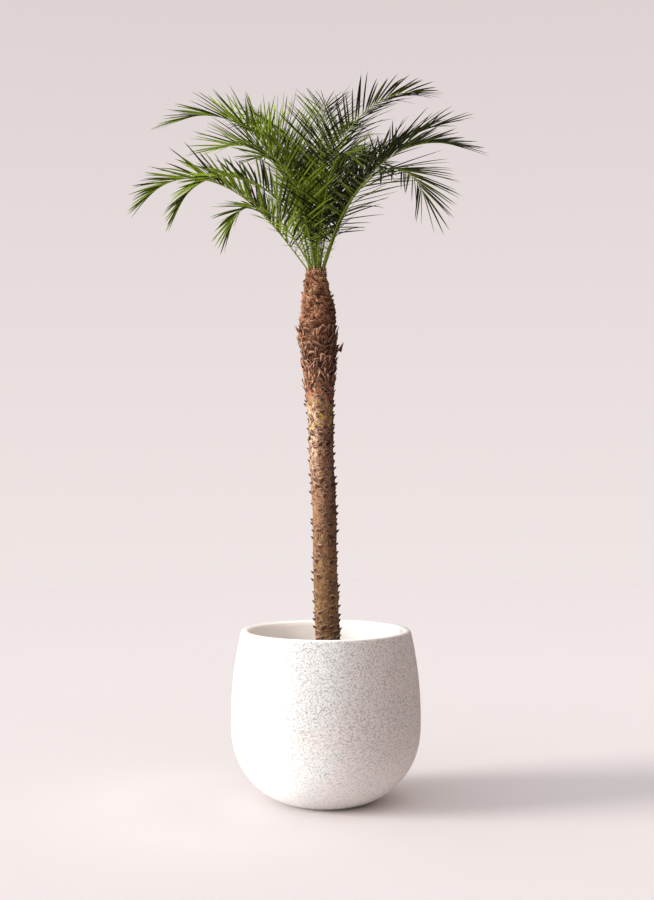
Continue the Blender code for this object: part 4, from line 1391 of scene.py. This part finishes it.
class FrondMaker(Growth):
    """Grows one dressed frond: stalk, leaflets and spines."""

    def __init__(self, curve, look, forms, seed):
        leaflet_form, self.stalk_form, self.spine_form = forms
        super().__init__(leaflet_form, seed)
        self.curve = curve
        self.look = look
        self.habit = HABITS.get(curve.name, HABIT)
        # A tone by the frond's side: lower for fronds on the right, which the leaflet finish darkens as
        # painted shade.
        self.tone = min(1.0, max(0.0, 0.5 - 0.5 * curve.side.y + self.draw.uniform(-0.12, 0.12)))

    def grow_stalk(self):
        """The stalk, round below and grooved above."""

        def rule(point):
            share = point.z * 0.95
            middle, _, side, up = self.curve.at(share)
            width, height = self.curve.size(share)
            rise = point.y
            if rise > 0:
                rise *= 0.75 - 0.45 * (1 - abs(point.x)) ** 2
            return middle + side * point.x * width + up * rise * height, (share, 0, self.tone, 1)

        self.add(rule, self.stalk_form)

    def grow_leaflets(self):
        """Leaflets along both sides, not quite opposite, with the last ones drawn forward."""
        count = round((LEAFLETS_TO - FIRST_LEAFLET) * self.curve.length / self.look.spacing)
        for sign in (-1, 1):
            for n in range(count):
                place = (n + (0.25 if sign > 0 else 0.75) + self.draw.uniform(-0.25, 0.25)) / count
                if self.draw.random() > 0.03:
                    self.grow_leaflet(mix(FIRST_LEAFLET, LEAFLETS_TO, place), sign)
        for share, sign in ((0.93, -0.7), (0.936, 0.7), (0.945, -0.3), (0.945, 0.3)):
            self.grow_leaflet(share, sign)

    def grow_leaflet(self, share, sign):
        """One folded blade that leaves the stalk forwards, upwards and out, and droops to a point."""
        draw = self.draw
        part = min(1.0, (share - FIRST_LEAFLET) / (LEAFLETS_TO - FIRST_LEAFLET))
        low = 1 - ease(0.12, 0.30, share)
        middle, heading, side, up = self.curve.at(share)
        half_width, _ = self.curve.size(share)
        hand = 1 if sign > 0 else -1
        wide_angle, tip_angle, low_lift, tip_lift, long = self.habit
        angle = mix(wide_angle, tip_angle, part**1.5) * abs(sign) + draw.gauss(0, mix(3.2, 11.0, low))
        angle = math.radians(max(4.0, angle))
        lift = math.radians(mix(low_lift, tip_lift, part) + draw.gauss(0, mix(8.0, 20.0, low)))
        across = side * hand * math.cos(lift) + up * math.sin(lift)
        out = heading * math.cos(angle) + across * math.sin(angle)
        outward = across * math.cos(angle) - heading * math.sin(angle)
        upward = out.cross(outward) * hand
        tilt = math.radians(LEAFLET_TILT + draw.gauss(0, 8))
        wide = outward * math.cos(tilt) + upward * math.sin(tilt)
        swell = mix(0.36, 1.0, ease(-0.04, 0.34, part)) * (1 - 0.30 * ease(0.55, 1.0, part))
        length = self.look.length * self.curve.leaflet_size * long * swell * draw.uniform(0.84, 1.06)
        width = self.look.width * mix(1.0, 0.75, part) * draw.uniform(0.85, 1.12) * mix(1.0, 0.6, low)
        droop = draw.uniform(0.05, 0.20) if draw.random() > 0.05 else draw.uniform(0.35, 0.7)
        curl = draw.gauss(0.10, 0.07)
        point = middle + side * hand * half_width * 0.7
        path, widths, heights, sides, ups = [], [], [], [], []
        last = 7
        for n in range(last + 1):
            at = n / last
            ahead = (out + heading * curl * at - UP * droop * at**1.5).normalized()
            path.append(point)
            shape = mix(0.42, 1.0, min(1.0, at / 0.22) ** 0.7) * (1 - at**3.2) ** 0.9
            widths.append(width / 2 * shape)
            heights.append(0.00032 * (1 - 0.6 * at))
            sides.append((wide - ahead * wide.dot(ahead)).normalized())
            ups.append(ahead.cross(sides[n]))
            point = point + ahead * length / last
        fold = math.tan(math.radians(draw.uniform(26, 40)))
        flip = 1 if ups[2].dot(upward) > 0 else -1
        rule = bent(path, widths, heights, sides, ups)
        tone = draw.random()

        def place(p):
            n = min(last, round(p.z * last))
            lifted = rule(p) + ups[n] * flip * (abs(p.x) * widths[n] * fold * (1 - 0.5 * p.z))
            return lifted, (p.z, abs(p.x), tone, self.tone)

        self.add(place)

    def grow_spines(self):
        """Long thin spines low on the stalk, longer and more like leaflets higher up."""
        draw = self.draw
        for sign in (-1, 1):
            for n in range(6):
                share = mix(0.04, 0.11, n / 5) + draw.uniform(-0.008, 0.008)
                middle, heading, side, up = self.curve.at(share)
                half_width, _ = self.curve.size(share)
                angle = math.radians(draw.uniform(40, 78))
                lift = math.radians(draw.uniform(-10, 45))
                across = side * sign * math.cos(lift) + up * math.sin(lift)
                out = heading * math.cos(angle) + across * math.sin(angle)
                length = mix(0.014, 0.048, n / 5) * draw.uniform(0.7, 1.15)
                thick = mix(0.0006, 0.0009, n / 5)
                point = middle + side * sign * half_width * 0.7
                path = []
                for m in range(5):
                    sag = Vector((0, 0, 0.04 * length * (m / 4) ** 2))
                    path.append(point + out * length * m / 4 - sag)
                widths = [thick * (1 - m / 4.4) for m in range(5)]
                cross = out.cross(up).normalized()
                rule = bent(path, widths, widths, [cross] * 5, [out.cross(cross)] * 5)
                tone = draw.random()
                self.add(lambda p: (rule(p), (0.1 + 0.5 * p.z, 1, tone, 1)), self.spine_form)


def leaflet_finish(look):
    """Glossy olive-green blades with a pale midrib and fine veins; the tips yellow and dry a little. Painted
    shade darkens the fronds and leaflets on the crown's right side.
    """
    finish = Finish("leaflet_green", 0.5, 0.07)
    along, edge, tone, painted_side_shade = finish.mark("blade")
    cloud = finish.noise(9.0, 2.0)
    mottle = finish.noise(160.0, 3.0, 0.6)
    share = tone.scaled(0.85, cloud * 0.4)
    # Fronds on the crown's right get more of the deep green: painted shade.
    share = painted_side_shade.scaled(0.42, share - 0.4)
    colour = share.rise(0.26, 0.82).blend(look.deep, look.light)
    across = finish.along("X")
    # Painted shade: leaflets on the crown's right side, and the fronds on its right, turn darker.
    colour = across.rise(-0.05, 0.2, 0.0, 0.45).blend(colour, (0.016, 0.021, 0.006))
    colour = colour.tint(painted_side_shade.ramp((0.0, (0.62, 0.54, 0.6)), (0.8, 1.0)))
    colour = along.rise(0.16, 0.0, 0.0, 0.6).blend(colour, look.stalk)
    rib = edge.rise(0.16, 0.05, 0.0, 0.35)
    colour = rib.blend(colour, (0.26, 0.32, 0.06))
    dry = along.rise(0.9, 1.0) * tone.rise(0.45, 0.9)
    colour = dry.blend(colour, (0.33, 0.24, 0.09))
    veins = (edge * 34.0).sine()
    colour = colour.tint(mottle.ramp((0.3, 0.86), (0.7, 1.12)))
    relief = veins.bump(0.00012, 0.6)
    return finish.done(colour, mottle.bump(0.0004, 0.3, relief))


def stalk_finish(look):
    """Smooth yellow-green stalks, browner at the very base."""
    finish = Finish("stalk_green", 0.5, 0.2)
    along, kind, tone, _ = finish.mark("blade")
    streak = finish.noise(90.0, 4.0, 0.6, 0.3, finish.stretched((1, 1, 0.2)))
    green = along.rise(0.18, 0.5).blend(look.stalk, (0.25, 0.325, 0.035))
    colour = along.rise(0.045, 0.0, 0.0, 0.85).blend(green, (0.21, 0.1, 0.045))
    colour = (kind * along.rise(0.35, 0.6)).blend(colour, (0.42, 0.34, 0.14))
    colour = colour.tint(streak.ramp((0.3, 0.75), (0.7, 1.2)))
    colour = (tone * 0.25).blend(colour, (0.1, 0.15, 0.03))
    return finish.done(colour, streak.bump(0.0004, 0.5))


class PALM_OT_fronds(bpy.types.Operator):
    """Grow the crown's fronds"""

    bl_idname = "palm.fronds"
    bl_label = "Fronds"
    bl_options = {"REGISTER", "UNDO"}

    def execute(self, context):
        look = context.scene.palm_frond
        finishes = [leaflet_finish(look), stalk_finish(look)]
        places = {**slots("outer"), **slots("inner")}
        forms = (
            tube_form("leaflet_form", 4, 6, True, 0),
            tube_form("stalk_form", 8, 47, False, 1),
            tube_form("spine_form", 3, 3, True, 1),
        )
        for n, row in enumerate(FRONDS):
            maker = FrondMaker(FrondCurve(row, places[row[0]]), look, forms, 200 + n)
            maker.grow_stalk()
            maker.grow_leaflets()
            maker.grow_spines()
            node = "frond_" + row[0]
            make_piece(node + "_dressed", maker.bm, finishes, (node,), 38)
        forget(*forms)
        return {"FINISHED"}


def spear_finish():
    """Pale green folded leaf, with painted shade in the valleys of its pleats."""
    finish = Finish("spear_green", 0.5, 0.4)
    along, fold, _, _ = finish.mark("blade")
    streak = finish.noise(200.0, 3.0, 0.6, 0.2, finish.stretched((1, 1, 0.1)))
    colour = along.blend((0.3, 0.36, 0.09), (0.12, 0.19, 0.035))
    # Painted shade: the valleys between the pleats turn darker green.
    colour = fold.rise(0.6, 0.0, 0.0, 0.6).blend(colour, (0.07, 0.11, 0.02))
    colour = colour.tint(streak.ramp((0.3, 0.8), (0.7, 1.2)))
    return finish.done(colour, streak.bump(0.0004, 0.6))


class PALM_OT_spear(bpy.types.Operator):
    """Make the unopened youngest leaf"""

    bl_idname = "palm.spear"
    bl_label = "Spear"
    bl_options = {"REGISTER", "UNDO"}

    def execute(self, context):
        growth = Growth(tube_form("spear_form", 20, 31, True))
        base = Vector((NECK_X, 0, NECK_TOP - 0.002))

        def rule(point):
            share = point.z
            around = math.atan2(point.y, point.x)
            fold = 0.5 + 0.5 * math.cos(around * 10)
            radius = 0.0031 * (1 - 0.72 * share**1.5) * mix(0.72, 1.0, fold) * (1 if share < 0.999 else 0)
            centre = base + Vector((0.05 * share**2, 0, share)) * 0.300
            return centre + spokes(around)[0] * radius, (share, fold, 0, 1)

        growth.add(rule)
        growth.close("spear_dressed", spear_finish(), "spear", ("spear",), 60)
        return {"FINISHED"}


class PALM_PT_panel(bpy.types.Panel):
    """Lists the steps that dress the palm"""

    bl_label = "Potted palm"
    bl_idname = "PALM_PT_panel"
    bl_space_type = "VIEW_3D"
    bl_region_type = "UI"
    bl_category = "Palm"

    def draw(self, context):
        for operator, group in STEPS:
            box = self.layout.box()
            box.operator(operator.bl_idname)
            if group is None:
                continue
            settings = getattr(context.scene, group)
            for name in settings.bl_rna.properties.keys():
                if name not in ("rna_type", "name"):
                    box.prop(settings, name)


GROUPS = (
    ("palm_stage", PALM_PG_stage),
    ("palm_pot", PALM_PG_pot),
    ("palm_soil", PALM_PG_soil),
    ("palm_trunk", PALM_PG_trunk),
    ("palm_frond", PALM_PG_frond),
)
STEPS = (
    (PALM_OT_stage, "palm_stage"),
    (PALM_OT_pot, "palm_pot"),
    (PALM_OT_soil, "palm_soil"),
    (PALM_OT_trunk, "palm_trunk"),
    (PALM_OT_stubs, None),
    (PALM_OT_fronds, "palm_frond"),
    (PALM_OT_spear, None),
)


def register():
    """Register the classes and their settings."""
    for name, group in GROUPS:
        bpy.utils.register_class(group)
        setattr(bpy.types.Scene, name, PointerProperty(type=group))
    for operator, _ in STEPS:
        bpy.utils.register_class(operator)
    bpy.utils.register_class(PALM_PT_panel)


def unregister():
    """Take the classes and their settings away again."""
    bpy.utils.unregister_class(PALM_PT_panel)
    for operator, _ in reversed(STEPS):
        bpy.utils.unregister_class(operator)
    for name, group in reversed(GROUPS):
        delattr(bpy.types.Scene, name)
        bpy.utils.unregister_class(group)


def main():
    """Dress the palm."""
    register()
    bpy.ops.palm.stage()
    bpy.ops.palm.pot()
    bpy.ops.palm.soil()
    bpy.ops.palm.trunk()
    bpy.ops.palm.stubs()
    bpy.ops.palm.fronds()
    bpy.ops.palm.spear()


if __name__ == "__main__":
    main()
